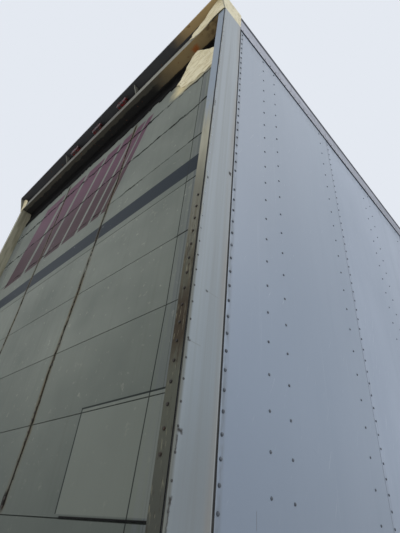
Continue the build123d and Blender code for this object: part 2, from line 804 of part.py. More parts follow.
def red_lamps():
    """Three identification lamps in the header's recess and a lamp at the rear of each side."""
    web = REAR + LAMP_RECESS
    places = [n * ID_LAMP_SPACING for n in (-1, 0, 1)]
    lamps = []
    for y in places:
        lamp = lamp_box(web - ID_LAMP_DEPTH, web, y, LAMP_Z, LAMP_LENGTH, LAMP_HEIGHT)
        lamps.append(fillet(lamp.edges().group_by(Axis.X)[0], LAMP_EDGE))
    return lamps + side_lamps(REAR + POST_DEPTH + SIDE_LAMP_SETBACK)


def tail_lamps():
    """Round stop, tail and turn lamps in the sill's pockets."""
    lamps = []
    for y in lamp_places():
        body = rod_between((REAR, y, SILL_MIDDLE), (REAR + ROUND_LAMP_BODY, y, SILL_MIDDLE), ROUND_LAMP_RADIUS)
        lens = rod_between((REAR - ROUND_LAMP_FACE, y, SILL_MIDDLE), (REAR, y, SILL_MIDDLE), ROUND_LAMP_RADIUS)
        lens = fillet(lens.edges().group_by(Axis.X)[0], ROUND_LAMP_FACE * 0.7)
        lamps.append(body + lens)
    return lamps


def amber_lamps():
    """Clearance lamps high on the nose, and lamps at the front and middle of each side."""
    y = HALF - NOSE_RADIUS - LAMP_LENGTH / 2 - NOSE_LAMP_INSET
    z = RAIL_TOP - NOSE_LAMP_DROP
    lamps = [lamp_box(NOSE, NOSE + LAMP_DEPTH, side * y, z, LAMP_LENGTH, LAMP_HEIGHT) for side in (-1, 1)]
    lamps += side_lamps(NOSE - NOSE_RADIUS - SIDE_LAMP_SETBACK)
    return lamps + side_lamps((REAR + NOSE) / 2)


def upper_coupler():
    """Bearing plate with a turned-up front edge below cross channels."""
    rear, front = KINGPIN_X - COUPLER_LENGTH / 2, NOSE - WALL_THICK
    low = BEAM_BOTTOM - COUPLER_PLATE
    outline = [
        (rear, low + COUPLER_RAMP),
        (rear + COUPLER_RAMP_RUN, low),
        (front - COUPLER_RAMP_RUN, low),
        (front, low + COUPLER_RAMP),
        (front, low + COUPLER_RAMP + COUPLER_PLATE),
        (front - COUPLER_RAMP_RUN, low + COUPLER_PLATE),
        (rear + COUPLER_RAMP_RUN, low + COUPLER_PLATE),
        (rear, low + COUPLER_RAMP + COUPLER_PLATE),
    ]
    coupler = along_y(outline, -COUPLER_WIDTH / 2, COUPLER_WIDTH / 2)
    inner = HALF - BOTTOM_RAIL_DEPTH
    channel_pitch = (front - rear - 2 * CHANNEL_INSET) / (COUPLER_CHANNELS - 1)
    web_half, flange_half = CHANNEL_WEB / 2, CHANNEL_FLANGE / 2
    for n in range(COUPLER_CHANNELS):
        x = rear + CHANNEL_INSET + n * channel_pitch
        low_x, high_x = x - flange_half, x + flange_half
        web = block(x - web_half, x + web_half, -inner, inner, BEAM_BOTTOM, DECK_BOTTOM)
        foot = block(low_x, high_x, -inner, inner, BEAM_BOTTOM, BEAM_BOTTOM + CHANNEL_WALL)
        head = block(low_x, high_x, -inner, inner, DECK_BOTTOM - CHANNEL_WALL, DECK_BOTTOM)
        coupler += web + foot + head
    bore_top = DECK_BOTTOM - KINGPIN_BORE_LEFT
    hole = rod_between((KINGPIN_X, 0, low - 1), (KINGPIN_X, 0, bore_top), KINGPIN_HEAD)
    return coupler - hole


def kingpin():
    """Turned pin: collar in the plate, narrow neck for the jaws and a broad head."""
    plate = BEAM_BOTTOM - COUPLER_PLATE
    top = BEAM_BOTTOM + KINGPIN_RISE
    neck_top = plate - KINGPIN_COLLAR_LENGTH
    head_top = neck_top - KINGPIN_NECK_LENGTH
    foot = head_top - KINGPIN_HEAD_LENGTH
    profile = [
        (0, top),
        (KINGPIN_HEAD, top),
        (KINGPIN_HEAD, neck_top),
        (KINGPIN_NECK, neck_top - KINGPIN_SLOPE),
        (KINGPIN_NECK, head_top + KINGPIN_SLOPE),
        (KINGPIN_HEAD, head_top),
        (KINGPIN_HEAD, foot + KINGPIN_CHAMFER),
        (KINGPIN_HEAD - KINGPIN_CHAMFER, foot),
        (0, foot),
    ]
    face = Plane.XZ * make_face(Polyline(*profile, close=True))
    return Pos(KINGPIN_X, 0, 0) * revolve(face, Axis.Z)


def leg_tubes():
    """Outer tubes of the landing gear with their mounting plates."""
    half = LEG_OUTER / 2
    tube = block(LEG_X - half, LEG_X + half, LEG_Y - half, LEG_Y + half, LEG_LOW, BEAM_BOTTOM)
    bore = half - LEG_WALL
    tube -= block(LEG_X - bore, LEG_X + bore, LEG_Y - bore, LEG_Y + bore, LEG_LOW - 1, BEAM_BOTTOM - LEG_CAP)
    reach = LEG_PLATE_LENGTH / 2
    plate_in = LEG_Y - half - LEG_PLATE_THICK
    plate_low = BEAM_BOTTOM - LEG_PLATE_HEIGHT
    plate = block(LEG_X - reach, LEG_X + reach, plate_in, LEG_Y - half, plate_low, BEAM_BOTTOM)
    for end in (-1, 1):
        gusset = [
            (LEG_X + end * half, BEAM_BOTTOM),
            (LEG_X + end * (half + LEG_GUSSET), BEAM_BOTTOM),
            (LEG_X + end * half, plate_low + LEG_GUSSET / 2),
        ]
        plate += along_y(gusset, LEG_Y - half, LEG_Y - half + LEG_WALL)
    return both_sides(tube + plate)


def leg_feet():
    """Inner tubes on sand shoes with turned-up edges."""
    half = LEG_INNER / 2
    shoe = SHOE_SIZE / 2
    tube = block(LEG_X - half, LEG_X + half, LEG_Y - half, LEG_Y + half, SHOE_HEIGHT, FOOT_TOP)
    outline = [
        (LEG_X - shoe, SHOE_RISE),
        (LEG_X - shoe + SHOE_RAMP, 0),
        (LEG_X + shoe - SHOE_RAMP, 0),
        (LEG_X + shoe, SHOE_RISE),
        (LEG_X + shoe, SHOE_RISE + SHOE_PLATE),
        (LEG_X + shoe - SHOE_RAMP, SHOE_PLATE),
        (LEG_X - shoe + SHOE_RAMP, SHOE_PLATE),
        (LEG_X - shoe, SHOE_RISE + SHOE_PLATE),
    ]
    plate = along_y(outline, LEG_Y - shoe, LEG_Y + shoe)
    pedestal = [
        (LEG_X - half - CHEEK_FLARE, SHOE_PLATE),
        (LEG_X + half + CHEEK_FLARE, SHOE_PLATE),
        (LEG_X + half, SHOE_HEIGHT + CHEEK_RISE),
        (LEG_X - half, SHOE_HEIGHT + CHEEK_RISE),
    ]
    cheeks = along_y(pedestal, LEG_Y - half - CHEEK_THICK, LEG_Y + half + CHEEK_THICK)
    return both_sides(tube + plate + cheeks)


def leg_braces():
    """Braces that run inward and rearward from the legs to the crossmembers."""
    braces = []
    foot_x, foot_y, _foot_z = BRACE_FOOT
    pad_top = BRACE_PAD[2]
    beside_shaft = LEG_X - SHAFT_RADIUS - BRACE_ROD - BRACE_SHAFT_GAP
    start = (beside_shaft, LEG_Y - LEG_OUTER / 2 - foot_y / 2, BRACE_FOOT_Z)
    rearward = (LEG_X - LEG_OUTER / 2 - foot_x / 2, LEG_Y, BRACE_FOOT_Z)
    inward_end = (beside_shaft, LEG_Y - BRACE_INWARD, BEAM_BOTTOM - pad_top)
    rearward_end = (LEG_X - BRACE_REARWARD, LEG_Y, BEAM_BOTTOM - pad_top)
    for low, high in ((start, inward_end), (rearward, rearward_end)):
        bar = rod_between(low, high, BRACE_ROD)
        foot = Pos(*low) * Box(*BRACE_FOOT)
        head = Pos(high[0], high[1], BEAM_BOTTOM - pad_top / 2) * Box(*BRACE_PAD)
        braces += both_sides(bar + foot + head)
    return braces


def leg_drive():
    """Cross shaft, gearbox on the left leg and a hand crank in its stowed place."""
    half = LEG_Y - LEG_OUTER / 2
    shaft = tube_y(LEG_X, -half + FIT, half - FIT, SHAFT_Z, SHAFT_RADIUS)
    face = LEG_Y + LEG_OUTER / 2 + FIT
    cover = face + GEARBOX_DEPTH
    half_long, half_tall = GEARBOX_LENGTH / 2, GEARBOX_HEIGHT / 2
    box = block(LEG_X - half_long, LEG_X + half_long, face, cover, SHAFT_Z - half_tall, SHAFT_Z + half_tall)
    box = fillet(box.edges().filter_by(Axis.Y), GEARBOX_ROUNDING)
    stub_end = cover + CRANK_STUB
    crank = tube_y(LEG_X, cover, stub_end, SHAFT_Z, CRANK_STUB_RADIUS)
    arm_y = stub_end - CRANK_INSET
    arm_end = (LEG_X + CRANK_ARM, arm_y, SHAFT_Z - CRANK_DROP)
    crank += rod_between((LEG_X, arm_y, SHAFT_Z), arm_end, CRANK_RADIUS)
    grip_end = (arm_end[0], arm_end[1] - CRANK_GRIP, arm_end[2])
    crank += rod_between(arm_end, grip_end, CRANK_RADIUS)
    return [shaft, box + crank]


def body_rails():
    """Z rails below the crossmembers, with a row of lock holes, that guide the tandem."""
    web_in = BODY_RAIL_OUT - BODY_RAIL_THICK
    track_in = TRACK_RAIL_Y - TRACK_RAIL_WIDTH / 2
    lip = BODY_RAIL_OUT - BODY_RAIL_THICK - BODY_RAIL_LIP
    outline = [
        (track_in, BEAM_BOTTOM),
        (BODY_RAIL_OUT, BEAM_BOTTOM),
        (BODY_RAIL_OUT, BODY_RAIL_LOW),
        (lip, BODY_RAIL_LOW),
        (lip, BODY_RAIL_LOW + BODY_RAIL_THICK),
        (web_in, BODY_RAIL_LOW + BODY_RAIL_THICK),
        (web_in, BEAM_BOTTOM - BODY_RAIL_THICK),
        (track_in, BEAM_BOTTOM - BODY_RAIL_THICK),
    ]
    rear = REAR + POST_DEPTH + BEAM_PITCH / 2
    front = TANDEM_X + SLIDER_LENGTH / 2 + SLIDE_TRAVEL
    rail = along_x(outline, rear, front)
    first = TANDEM_X - SLIDER_LENGTH / 2 + PIN_INSET
    count = int((front - RAIL_HOLE_MARGIN - first) / PIN_HOLE_PITCH)
    for n in range(count):
        rail -= tube_y(first + n * PIN_HOLE_PITCH, web_in - 1, BODY_RAIL_OUT + 1, PIN_Z, PIN_HOLE_RADIUS)
    return both_sides(rail)


def gladhands():
    """Two air couplings on a plate at the nose."""
    half_height = HOSE_PLATE_HEIGHT / 2
    low, high = HOSE_Z - half_height, HOSE_Z + half_height
    reach = HOSE_PITCH + HOSE_PLATE_MARGIN
    body = block(NOSE, NOSE + HOSE_PLATE, -reach, reach, low, high)
    face = NOSE + GLADHAND_REACH - GLADHAND_RADIUS
    for y in (-HOSE_PITCH, HOSE_PITCH):
        body += rod_between((NOSE + HOSE_PLATE, y, HOSE_Z), (face, y, HOSE_Z), GLADHAND_NECK)
        body += Pos(face, y, HOSE_Z) * Box(*GLADHAND_BODY)
        foot, head = (face, y, HOSE_Z - GLADHAND_LOW), (face, y, HOSE_Z + GLADHAND_HIGH)
        body += rod_between(foot, head, GLADHAND_RADIUS)
    return body


def electric_socket():
    """Seven-way socket with a hinged cap, between the air couplings."""
    back, mouth = NOSE + HOSE_PLATE, NOSE + SOCKET_REACH
    body = rod_between((back, 0, HOSE_Z), (mouth, 0, HOSE_Z), SOCKET_BORE + SOCKET_WALL)
    body -= rod_between((mouth - SOCKET_DEPTH, 0, HOSE_Z), (mouth + 1, 0, HOSE_Z), SOCKET_BORE)
    return body


def cross_tube_places():
    """X of the tubes across the slider, from the rear forward."""
    rear, front = TANDEM_X - SLIDER_LENGTH / 2, TANDEM_X + SLIDER_LENGTH / 2
    middle = [TANDEM_X - CROSS_TUBE_PLACE, TANDEM_X + CROSS_TUBE_PLACE]
    return [rear + CROSS_TUBE_INSET, *middle, TANK_X, front - CROSS_TUBE_INSET]


def slider_frame():
    """Two side channels joined by cross tubes, with pads that hook over the body rails' lips."""
    rear, front = TANDEM_X - SLIDER_LENGTH / 2, TANDEM_X + SLIDER_LENGTH / 2
    half = TRACK_RAIL_WIDTH / 2
    low = TRACK_RAIL_LOW
    high = BEAM_BOTTOM - BODY_RAIL_THICK - RUNNING_GAP
    outer, inner = TRACK_RAIL_Y + half, TRACK_RAIL_Y - half
    wall = TRACK_RAIL_WALL
    outline = [
        (inner, low),
        (outer, low),
        (outer, high),
        (inner, high),
        (inner, high - wall),
        (outer - wall, high - wall),
        (outer - wall, low + wall),
        (inner, low + wall),
    ]
    rail = along_x(outline, rear, front)
    pad_low = BODY_RAIL_LOW + BODY_RAIL_THICK + RUNNING_GAP
    pad_out = BODY_RAIL_OUT - BODY_RAIL_THICK - RUNNING_GAP
    for x in (rear + PAD_INSET, TANDEM_X, front - PAD_INSET):
        rail += block(x - PAD_HALF, x + PAD_HALF, outer, pad_out, pad_low, pad_low + PAD_THICK)
        pad_top = high + RUNNING_GAP - FIT
        rail += block(x - PAD_HALF, x + PAD_HALF, inner + PAD_MARGIN, outer - PAD_MARGIN, high, pad_top)
    frame = rail + other_side(rail)
    for x in cross_tube_places():
        half_tube = CROSS_TUBE_HALF
        reach = outer - wall
        frame += block(x - half_tube, x + half_tube, -reach, reach, low + wall, low + CROSS_TUBE_TOP)
    return frame - tube_y(TANDEM_X, inner, outer + 1, HANDLE_Z, HANDLE_RADIUS + FIT)


def hanger_table():
    """Hangers as (x, half length along X, lowest z)."""
    reach = SPRING_SPAN / 2 - HANGER_OVERLAP
    return [
        (FRONT_AXLE_X + reach, HANGER_HALF, HANGER_LOW),
        (TANDEM_X, MIDDLE_HANGER_HALF, HANGER_LOW - MIDDLE_HANGER_DROP),
        (REAR_AXLE_X - reach, HANGER_HALF, HANGER_LOW + REAR_HANGER_RISE),
    ]


def spring_hangers():
    """Open-bottomed plate hangers below the slider's side rails."""
    hangers = []
    spring_half = SPRING_WIDTH / 2 + HANGER_SIDE_GAP
    for x, half, low in hanger_table():
        side = [
            (x - half, TRACK_RAIL_LOW),
            (x + half, TRACK_RAIL_LOW),
            (x + half * 0.6, low),
            (x - half * 0.6, low),
        ]
        outer = TRACK_RAIL_Y + spring_half
        inner = TRACK_RAIL_Y - spring_half
        hanger = along_y(side, outer, outer + HANGER_THICK)
        hanger += along_y(side, inner - HANGER_THICK, inner)
        top = TRACK_RAIL_LOW - HANGER_THICK
        hanger += block(x - half, x + half, inner, outer, top, TRACK_RAIL_LOW)
        pin_end = HANGER_THICK + HANGER_PIN_END
        hanger += tube_y(x, inner - pin_end, outer + pin_end, low + HANGER_PIN_RISE, HANGER_PIN_RADIUS)
        if x != TANDEM_X:
            hanger += block(x - half / 2, x + half / 2, inner, outer, SPRING_TOP, top)
        hangers += both_sides(hanger)
    return hangers


def equalizers():
    """Rocker in each middle hanger that shares the load between the springs."""
    gap = AXLE_SPREAD / 2 - SPRING_SPAN / 2
    reach = gap + EQUALIZER_TIP
    shoulder = gap - EQUALIZER_SHOULDER
    pivot_z = hanger_table()[1][2] + HANGER_PIN_RISE
    outline = [
        (TANDEM_X - reach, SPRING_TOP),
        (TANDEM_X - shoulder, SPRING_TOP),
        (TANDEM_X - EQUALIZER_FOOT, pivot_z - EQUALIZER_DROP),
        (TANDEM_X + EQUALIZER_FOOT, pivot_z - EQUALIZER_DROP),
        (TANDEM_X + shoulder, SPRING_TOP),
        (TANDEM_X + reach, SPRING_TOP),
        (TANDEM_X + reach, SPRING_TOP + EQUALIZER_END),
        (TANDEM_X + EQUALIZER_CROWN_HALF, SPRING_TOP + EQUALIZER_CROWN),
        (TANDEM_X - EQUALIZER_CROWN_HALF, SPRING_TOP + EQUALIZER_CROWN),
        (TANDEM_X - reach, SPRING_TOP + EQUALIZER_END),
    ]
    low, high = TRACK_RAIL_Y - SPRING_WIDTH / 2, TRACK_RAIL_Y + SPRING_WIDTH / 2
    rocker = along_y(outline, low, high)
    rocker -= tube_y(TANDEM_X, low - 1, high + 1, pivot_z, HANGER_PIN_RADIUS + FIT)
    return both_sides(rocker)


def spring_leaf(axle_x, number):
    """One curved leaf. Leaves get shorter downward and share one centre of curvature."""
    half_span = SPRING_SPAN / 2 - number * LEAF_STEP
    sag = SPRING_SAG * (half_span / (SPRING_SPAN / 2)) ** 2
    bottom = SPRING_EYE_Z - SPRING_SAG - number * (LEAF_THICK + FIT)
    top = bottom + LEAF_THICK
    lower = ThreePointArc(
        (axle_x - half_span, bottom + sag), (axle_x, bottom), (axle_x + half_span, bottom + sag)
    )
    upper = ThreePointArc((axle_x + half_span, top + sag), (axle_x, top), (axle_x - half_span, top + sag))
    ends = [
        Line((axle_x + half_span, bottom + sag), (axle_x + half_span, top + sag)),
        Line((axle_x - half_span, top + sag), (axle_x - half_span, bottom + sag)),
    ]
    face = make_face([lower, ends[0], upper, ends[1]])
    y_high = TRACK_RAIL_Y + SPRING_WIDTH / 2
    return extrude(Plane.XZ.offset(-y_high) * face, SPRING_WIDTH)


def leaf_springs():
    """Four springs of stacked leaves."""
    leaves = []
    for axle_x in (REAR_AXLE_X, FRONT_AXLE_X):
        for number in range(LEAF_COUNT):
            leaves += both_sides(spring_leaf(axle_x, number))
    return leaves


def spring_clamp(x, y):
    """Two U bolts over a spring with the plate under their bends and the plate below the axle."""
    rise = SPRING_SAG * (CLAMP_PLATE_HALF / (SPRING_SPAN / 2)) ** 2
    plate_low = SPRING_EYE_Z - SPRING_SAG + LEAF_THICK + rise + FIT
    plate_top = plate_low + CLAMP_PLATE
    reach, wide = CLAMP_PLATE_HALF, SEAT_WIDTH / 2
    clamp = block(x - reach, x + reach, y - wide, y + wide, plate_low, plate_top)
    foot_top = AXLE_Z - AXLE_RADIUS + CLAMP_FOOT / 4
    foot_low = foot_top - CLAMP_FOOT
    foot = CLAMP_FOOT_HALF
    clamp += block(x - reach, x + reach, y - foot, y + foot, foot_low, foot_top)
    crown = plate_top + CLAMP_ROD - FIT
    for along in (x - CLAMP_HALF_LENGTH, x + CLAMP_HALF_LENGTH):
        left, right = y + CLAMP_HALF_WIDTH, y - CLAMP_HALF_WIDTH
        low = foot_low - CLAMP_TAIL
        corners = [(along, right, low), (along, right, crown), (along, left, crown), (along, left, low)]
        path = FilletPolyline(*corners, radius=CLAMP_BEND)
        clamp += sweep(Plane(origin=corners[0], z_dir=(0, 0, 1)) * Circle(CLAMP_ROD), path)
    return clamp


def axles():
    """Tube axles with spring seats and their clamps, brake spiders and spindles."""
    found = []
    stack_low = SPRING_EYE_Z - SPRING_SAG - (LEAF_COUNT - 1) * (LEAF_THICK + FIT)
    spindle_end = WHEEL_Y + SPINDLE_END
    for x in (REAR_AXLE_X, FRONT_AXLE_X):
        axle = tube_y(x, -AXLE_HALF, AXLE_HALF, AXLE_Z, AXLE_RADIUS)
        axle += tube_y(x, -spindle_end, spindle_end, AXLE_Z, SPINDLE_RADIUS)
        for side in (-1, 1):
            y = side * TRACK_RAIL_Y
            wide = SEAT_WIDTH / 2
            axle += block(x - SEAT_HALF, x + SEAT_HALF, y - wide, y + wide, AXLE_Z - SEAT_LOW, stack_low)
            axle += spring_clamp(x, y)
            shield_in, shield_out = sorted((side * (AXLE_HALF - SHIELD_THICK), side * AXLE_HALF))
            axle += tube_y(x, shield_in, shield_out, AXLE_Z, DRUM_RADIUS - DRUM_WALL / 2)
        found.append(axle)
    return found


def brake_chamber(x):
    """Chamber on its bracket behind an axle, with the push rod and clevis that reach the lever."""
    face, y, z = x - CHAMBER_SETBACK, CHAMBER_Y, AXLE_Z + SLACK_ARM
    can = rod_between((face, y, z), (face - CHAMBER_LENGTH, y, z), CHAMBER_RADIUS)
    can = fillet(can.edges(), CHAMBER_ROUNDING)
    band = face - CHAMBER_BAND_PLACE
    can += rod_between((band, y, z), (band - CHAMBER_BAND, y, z), CHAMBER_RADIUS + CHAMBER_BAND_RISE)
    side_view = [
        (x + BRACKET_AHEAD, AXLE_Z + AXLE_RADIUS / 2),
        (x - AXLE_RADIUS, AXLE_Z + AXLE_RADIUS / 4),
        (face - BRACKET_WALL, z - BRACKET_RISE),
        (face - BRACKET_WALL, z + BRACKET_RISE),
        (face + BRACKET_WALL, z + BRACKET_RISE),
        (x + BRACKET_AHEAD, AXLE_Z + AXLE_RADIUS + BRACKET_WALL),
    ]
    inner = BRACKET_HALF - BRACKET_WALL
    bracket = along_y(side_view, y - BRACKET_HALF, y + BRACKET_HALF)
    bracket -= block(face + BRACKET_WALL, x + BRACKET_AHEAD + 1, y - inner, y + inner, AXLE_Z, z + BRACKET_RISE + 1)
    bracket -= tube_y(x, y - BRACKET_HALF - 1, y + BRACKET_HALF + 1, AXLE_Z, AXLE_RADIUS + FIT)
    tip = x - CAM_SETBACK
    rod = rod_between((face, y, z), (tip - CLEVIS_BACK + CLEVIS_PIN, y, z), PUSH_ROD)
    clevis = block(tip - CLEVIS_BACK, tip + SLACK_TIP, y - CLEVIS_HALF, y + CLEVIS_HALF, z - SLACK_TIP, z + SLACK_TIP)
    slot = SLACK_THICK / 2 + FIT
    clevis -= block(tip - SLACK_TIP - 4, tip + SLACK_TIP + 1, y - slot, y + slot, z - SLACK_TIP - 1, z + SLACK_TIP + 1)
    pin = tube_y(tip, y - CLEVIS_HALF, y + CLEVIS_HALF, z, CLEVIS_PIN)
    return can + bracket + rod + clevis + pin


def cam_shaft(x):
    """Cam shaft behind an axle in two brackets, with the slack adjuster that the push rod turns."""
    cam_x, half = x - CAM_SETBACK, SLACK_THICK / 2
    shaft = tube_y(cam_x, CHAMBER_Y - half, AXLE_HALF - SHIELD_THICK, AXLE_Z, CAM_RADIUS)
    head = tube_y(cam_x, CHAMBER_Y - half, CHAMBER_Y + half, AXLE_Z, SLACK_HEAD)
    tip = tube_y(cam_x, CHAMBER_Y - half, CHAMBER_Y + half, AXLE_Z + SLACK_ARM, SLACK_TIP)
    arm_view = [
        (cam_x - SLACK_HEAD * 0.8, AXLE_Z),
        (cam_x + SLACK_HEAD * 0.8, AXLE_Z),
        (cam_x + SLACK_TIP, AXLE_Z + SLACK_ARM),
        (cam_x - SLACK_TIP, AXLE_Z + SLACK_ARM),
    ]
    arm = along_y(arm_view, CHAMBER_Y - half, CHAMBER_Y + half)
    pin_hole = tube_y(cam_x, CHAMBER_Y - half - 1, CHAMBER_Y + half + 1, AXLE_Z + SLACK_ARM, CLEVIS_PIN + FIT)
    cam = shaft + head + arm + tip - pin_hole
    for place in CAM_BRACKET_PLACES:
        low = CHAMBER_Y + place - CAM_BRACKET_WIDTH
        high = CHAMBER_Y + place
        tall = CAM_BRACKET_HALF
        cam += block(cam_x - tall, x, low, high, AXLE_Z - tall, AXLE_Z + tall)
    return cam - tube_y(x, 0, AXLE_HALF, AXLE_Z, AXLE_RADIUS + FIT)


def brake_gear():
    """Brake chamber and cam shaft for each wheel."""
    gear = []
    for x in (REAR_AXLE_X, FRONT_AXLE_X):
        gear += both_sides(brake_chamber(x))
        gear += both_sides(cam_shaft(x))
    return gear


def torque_arms():
    """Radius rods from the hangers back to the axle seats."""
    arms = []
    y = TRACK_RAIL_Y
    front_hanger, middle_hanger = hanger_table()[:2]
    for (hanger_x, _half, low), axle_x in ((front_hanger, FRONT_AXLE_X), (middle_hanger, REAR_AXLE_X)):
        start = (hanger_x - ARM_HANGER_SETBACK, y, low - ARM_HANGER_DROP)
        end = (axle_x + SEAT_HALF + FIT + ARM_AXLE_EYE, y, AXLE_Z + ARM_AXLE_RISE)
        arm = rod_between(start, end, ARM_RADIUS)
        low_y, high_y = y - ARM_EYE_HALF, y + ARM_EYE_HALF
        arm += tube_y(start[0], low_y, high_y, start[2], ARM_HANGER_EYE)
        arm += tube_y(end[0], low_y, high_y, end[2], ARM_AXLE_EYE)
        arms += both_sides(arm)
    return arms


def lock_handle():
    """Pull handle on the left, on a rod that turns a shaft held between two of the slider's tubes."""
    _rear, tube_behind, tube_ahead, _tank, _front = cross_tube_places()
    shaft_rear = tube_behind + CROSS_TUBE_HALF + FIT
    shaft_front = tube_ahead - CROSS_TUBE_HALF - FIT
    handle = rod_between((shaft_rear, SHAFT_Y, HANDLE_Z), (shaft_front, SHAFT_Y, HANDLE_Z), LOCK_SHAFT_RADIUS)
    grip_y = HANDLE_REACH - HANDLE_GRIP_RADIUS
    handle += tube_y(TANDEM_X, SHAFT_Y, grip_y, HANDLE_Z, HANDLE_RADIUS)
    ends = [(TANDEM_X + end * HANDLE_GRIP_HALF, grip_y, HANDLE_Z) for end in (-1, 1)]
    grip = rod_between(*ends, HANDLE_GRIP_RADIUS)
    return handle + fillet(grip.edges(), HANDLE_GRIP_RADIUS / 2)


def lock_pins():
    """Spring-loaded pins at the slider's ends, drawn clear of the rail holes, and their handle."""
    pins = [lock_handle()]
    rear, front = TANDEM_X - SLIDER_LENGTH / 2, TANDEM_X + SLIDER_LENGTH / 2
    outer = TRACK_RAIL_Y + TRACK_RAIL_WIDTH / 2
    for x in (rear + PIN_INSET, front - PIN_INSET):
        pin = tube_y(x, outer, BODY_RAIL_OUT - BODY_RAIL_THICK - RUNNING_GAP, PIN_Z, PIN_HOLE_RADIUS - PIN_PLAY)
        pins += both_sides(pin)
    return pins


def air_tank():
    """Air reservoir across the slider, strapped below a cross tube."""
    top = TRACK_RAIL_LOW + TRACK_RAIL_WALL
    z = top - TANK_RADIUS - TANK_DROP
    body = tube_y(TANK_X, -TANK_HALF, TANK_HALF, z, TANK_RADIUS)
    body = fillet(body.edges(), TANK_ROUNDING)
    for y in (-TANK_STRAP_PLACE, TANK_STRAP_PLACE):
        low, high = y - TANK_STRAP_HALF, y + TANK_STRAP_HALF
        body += tube_y(TANK_X, low, high, z, TANK_RADIUS + TANK_STRAP_THICK)
        wide = TANK_HANGER_HALF
        body += block(TANK_X - wide, TANK_X + wide, low, high, z + TANK_HANGER_LOW, top)
    return body


def mud_flaps():
    """Rubber flaps behind the rear wheels."""
    x = REAR_AXLE_X - WHEEL_RADIUS - FLAP_BEHIND
    low, high = WHEEL_Y - FLAP_HALF, min(WHEEL_Y + FLAP_HALF, HALF - FLAP_EDGE)
    return both_sides(block(x - FLAP_THICK, x, low, high, FLAP_LOW, FLAP_HIGH))


def flap_hangers():
    """Spring-steel arms that carry the flaps from the slider's rear cross tube."""
    x = REAR_AXLE_X - WHEEL_RADIUS - FLAP_BEHIND
    outer = TRACK_RAIL_Y + TRACK_RAIL_WIDTH / 2
    low, high = FLAP_ARM_LOW, FLAP_ARM_HIGH
    arm = block(x + FIT, x + FLAP_ARM_THICK, outer, HALF - FLAP_ARM_EDGE, low, high)
    margin, half = FLAP_FOOT_MARGIN, FLAP_FOOT_HALF
    foot = block(x - half, x + half, outer, outer + FLAP_FOOT_THICK, low - margin, high + margin)
    return both_sides(arm + foot)


def tyre_profile():
    """Half-hollow tyre section as (distance from the tyre's middle, radius) points."""
    widest = (WHEEL_RADIUS + RIM_SEAT) / 2 - WALL_DROP
    bead = RIM_HALF - RIM_LIP - FIT
    outer = [
        (TREAD_HALF, WHEEL_RADIUS),
        (TREAD_HALF + SHOULDER_RUN, WHEEL_RADIUS - SHOULDER_DROP),
        (TYRE_HALF, widest + WALL_FLAT),
        (TYRE_HALF, widest - WALL_FLAT),
        (bead, RIM_FLANGE + BEAD_RISE),
        (bead, RIM_SEAT + FIT),
    ]
    inner = [
        (bead - BEAD_WIDTH, RIM_SEAT + FIT),
        (TYRE_HALF - TYRE_WALL, widest - WALL_FLAT),
        (TYRE_HALF - TYRE_WALL, widest + WALL_FLAT),
        (TREAD_HALF, WHEEL_RADIUS - TREAD_THICK - CROWN_DROP),
        (TREAD_HALF - CROWN_RUN, WHEEL_RADIUS - TREAD_THICK),
    ]
    half = outer + inner
    return half + [(-u, r) for u, r in reversed(half)]


def ring_y(profile, x, y):
    """A ring turned about the wheel's axis from (distance along Y, radius) points."""
    face = Plane.XY * make_face(Polyline(*[(r, u) for u, r in profile], close=True))
    ring = revolve(face, Axis.Y)
    return Pos(x, y, AXLE_Z) * ring


def tyres(x, side):
    """The two tyres of a twin wheel."""
    return [ring_y(tyre_profile(), x, side * (WHEEL_Y + shift)) for shift in (-TWIN_HALF, TWIN_HALF)]


def rim_profile(side):
    """Rim and disc of the outer wheel of a pair, as (distance from the twin's middle, radius)."""
    low, high = TWIN_HALF - RIM_HALF, TWIN_HALF + RIM_HALF
    well_low, well_high = TWIN_HALF - RIM_WELL_IN, TWIN_HALF + RIM_WELL_OUT
    knee = TWIN_HALF - DISC_KNEE
    heel = RIM_WELL - RIM_WALL - DISC_HEEL
    taper, inside = RIM_TAPER + RIM_EDGE, RIM_SEAT - RIM_WALL
    points = [
        (FIT, HUB_RADIUS + FIT),
        (DISC_THICK, HUB_RADIUS + FIT),
        (DISC_THICK, DISC_FLAT),
        (knee + DISC_THICK, heel),
        (knee + DISC_THICK, RIM_WELL - RIM_WALL),
        (well_high, RIM_WELL - RIM_WALL),
        (high - RIM_TAPER, inside),
        (high - RIM_EDGE, inside + RIM_EDGE),
        (high, RIM_FLANGE),
        (high - RIM_LIP, RIM_FLANGE),
        (high - RIM_LIP, RIM_SEAT),
        (high - taper, RIM_SEAT),
        (well_high, RIM_WELL),
        (well_low, RIM_WELL),
        (low + taper, RIM_SEAT),
        (low + RIM_LIP, RIM_SEAT),
        (low + RIM_LIP, RIM_FLANGE),
        (low, RIM_FLANGE),
        (low + RIM_EDGE, inside + RIM_EDGE),
        (low + RIM_TAPER, inside),
        (well_low, RIM_WELL - RIM_WALL),
        (knee, RIM_WELL - RIM_WALL),
        (knee, heel),
        (FIT, DISC_FLAT),
    ]
    return [(side * u, r) for u, r in points]


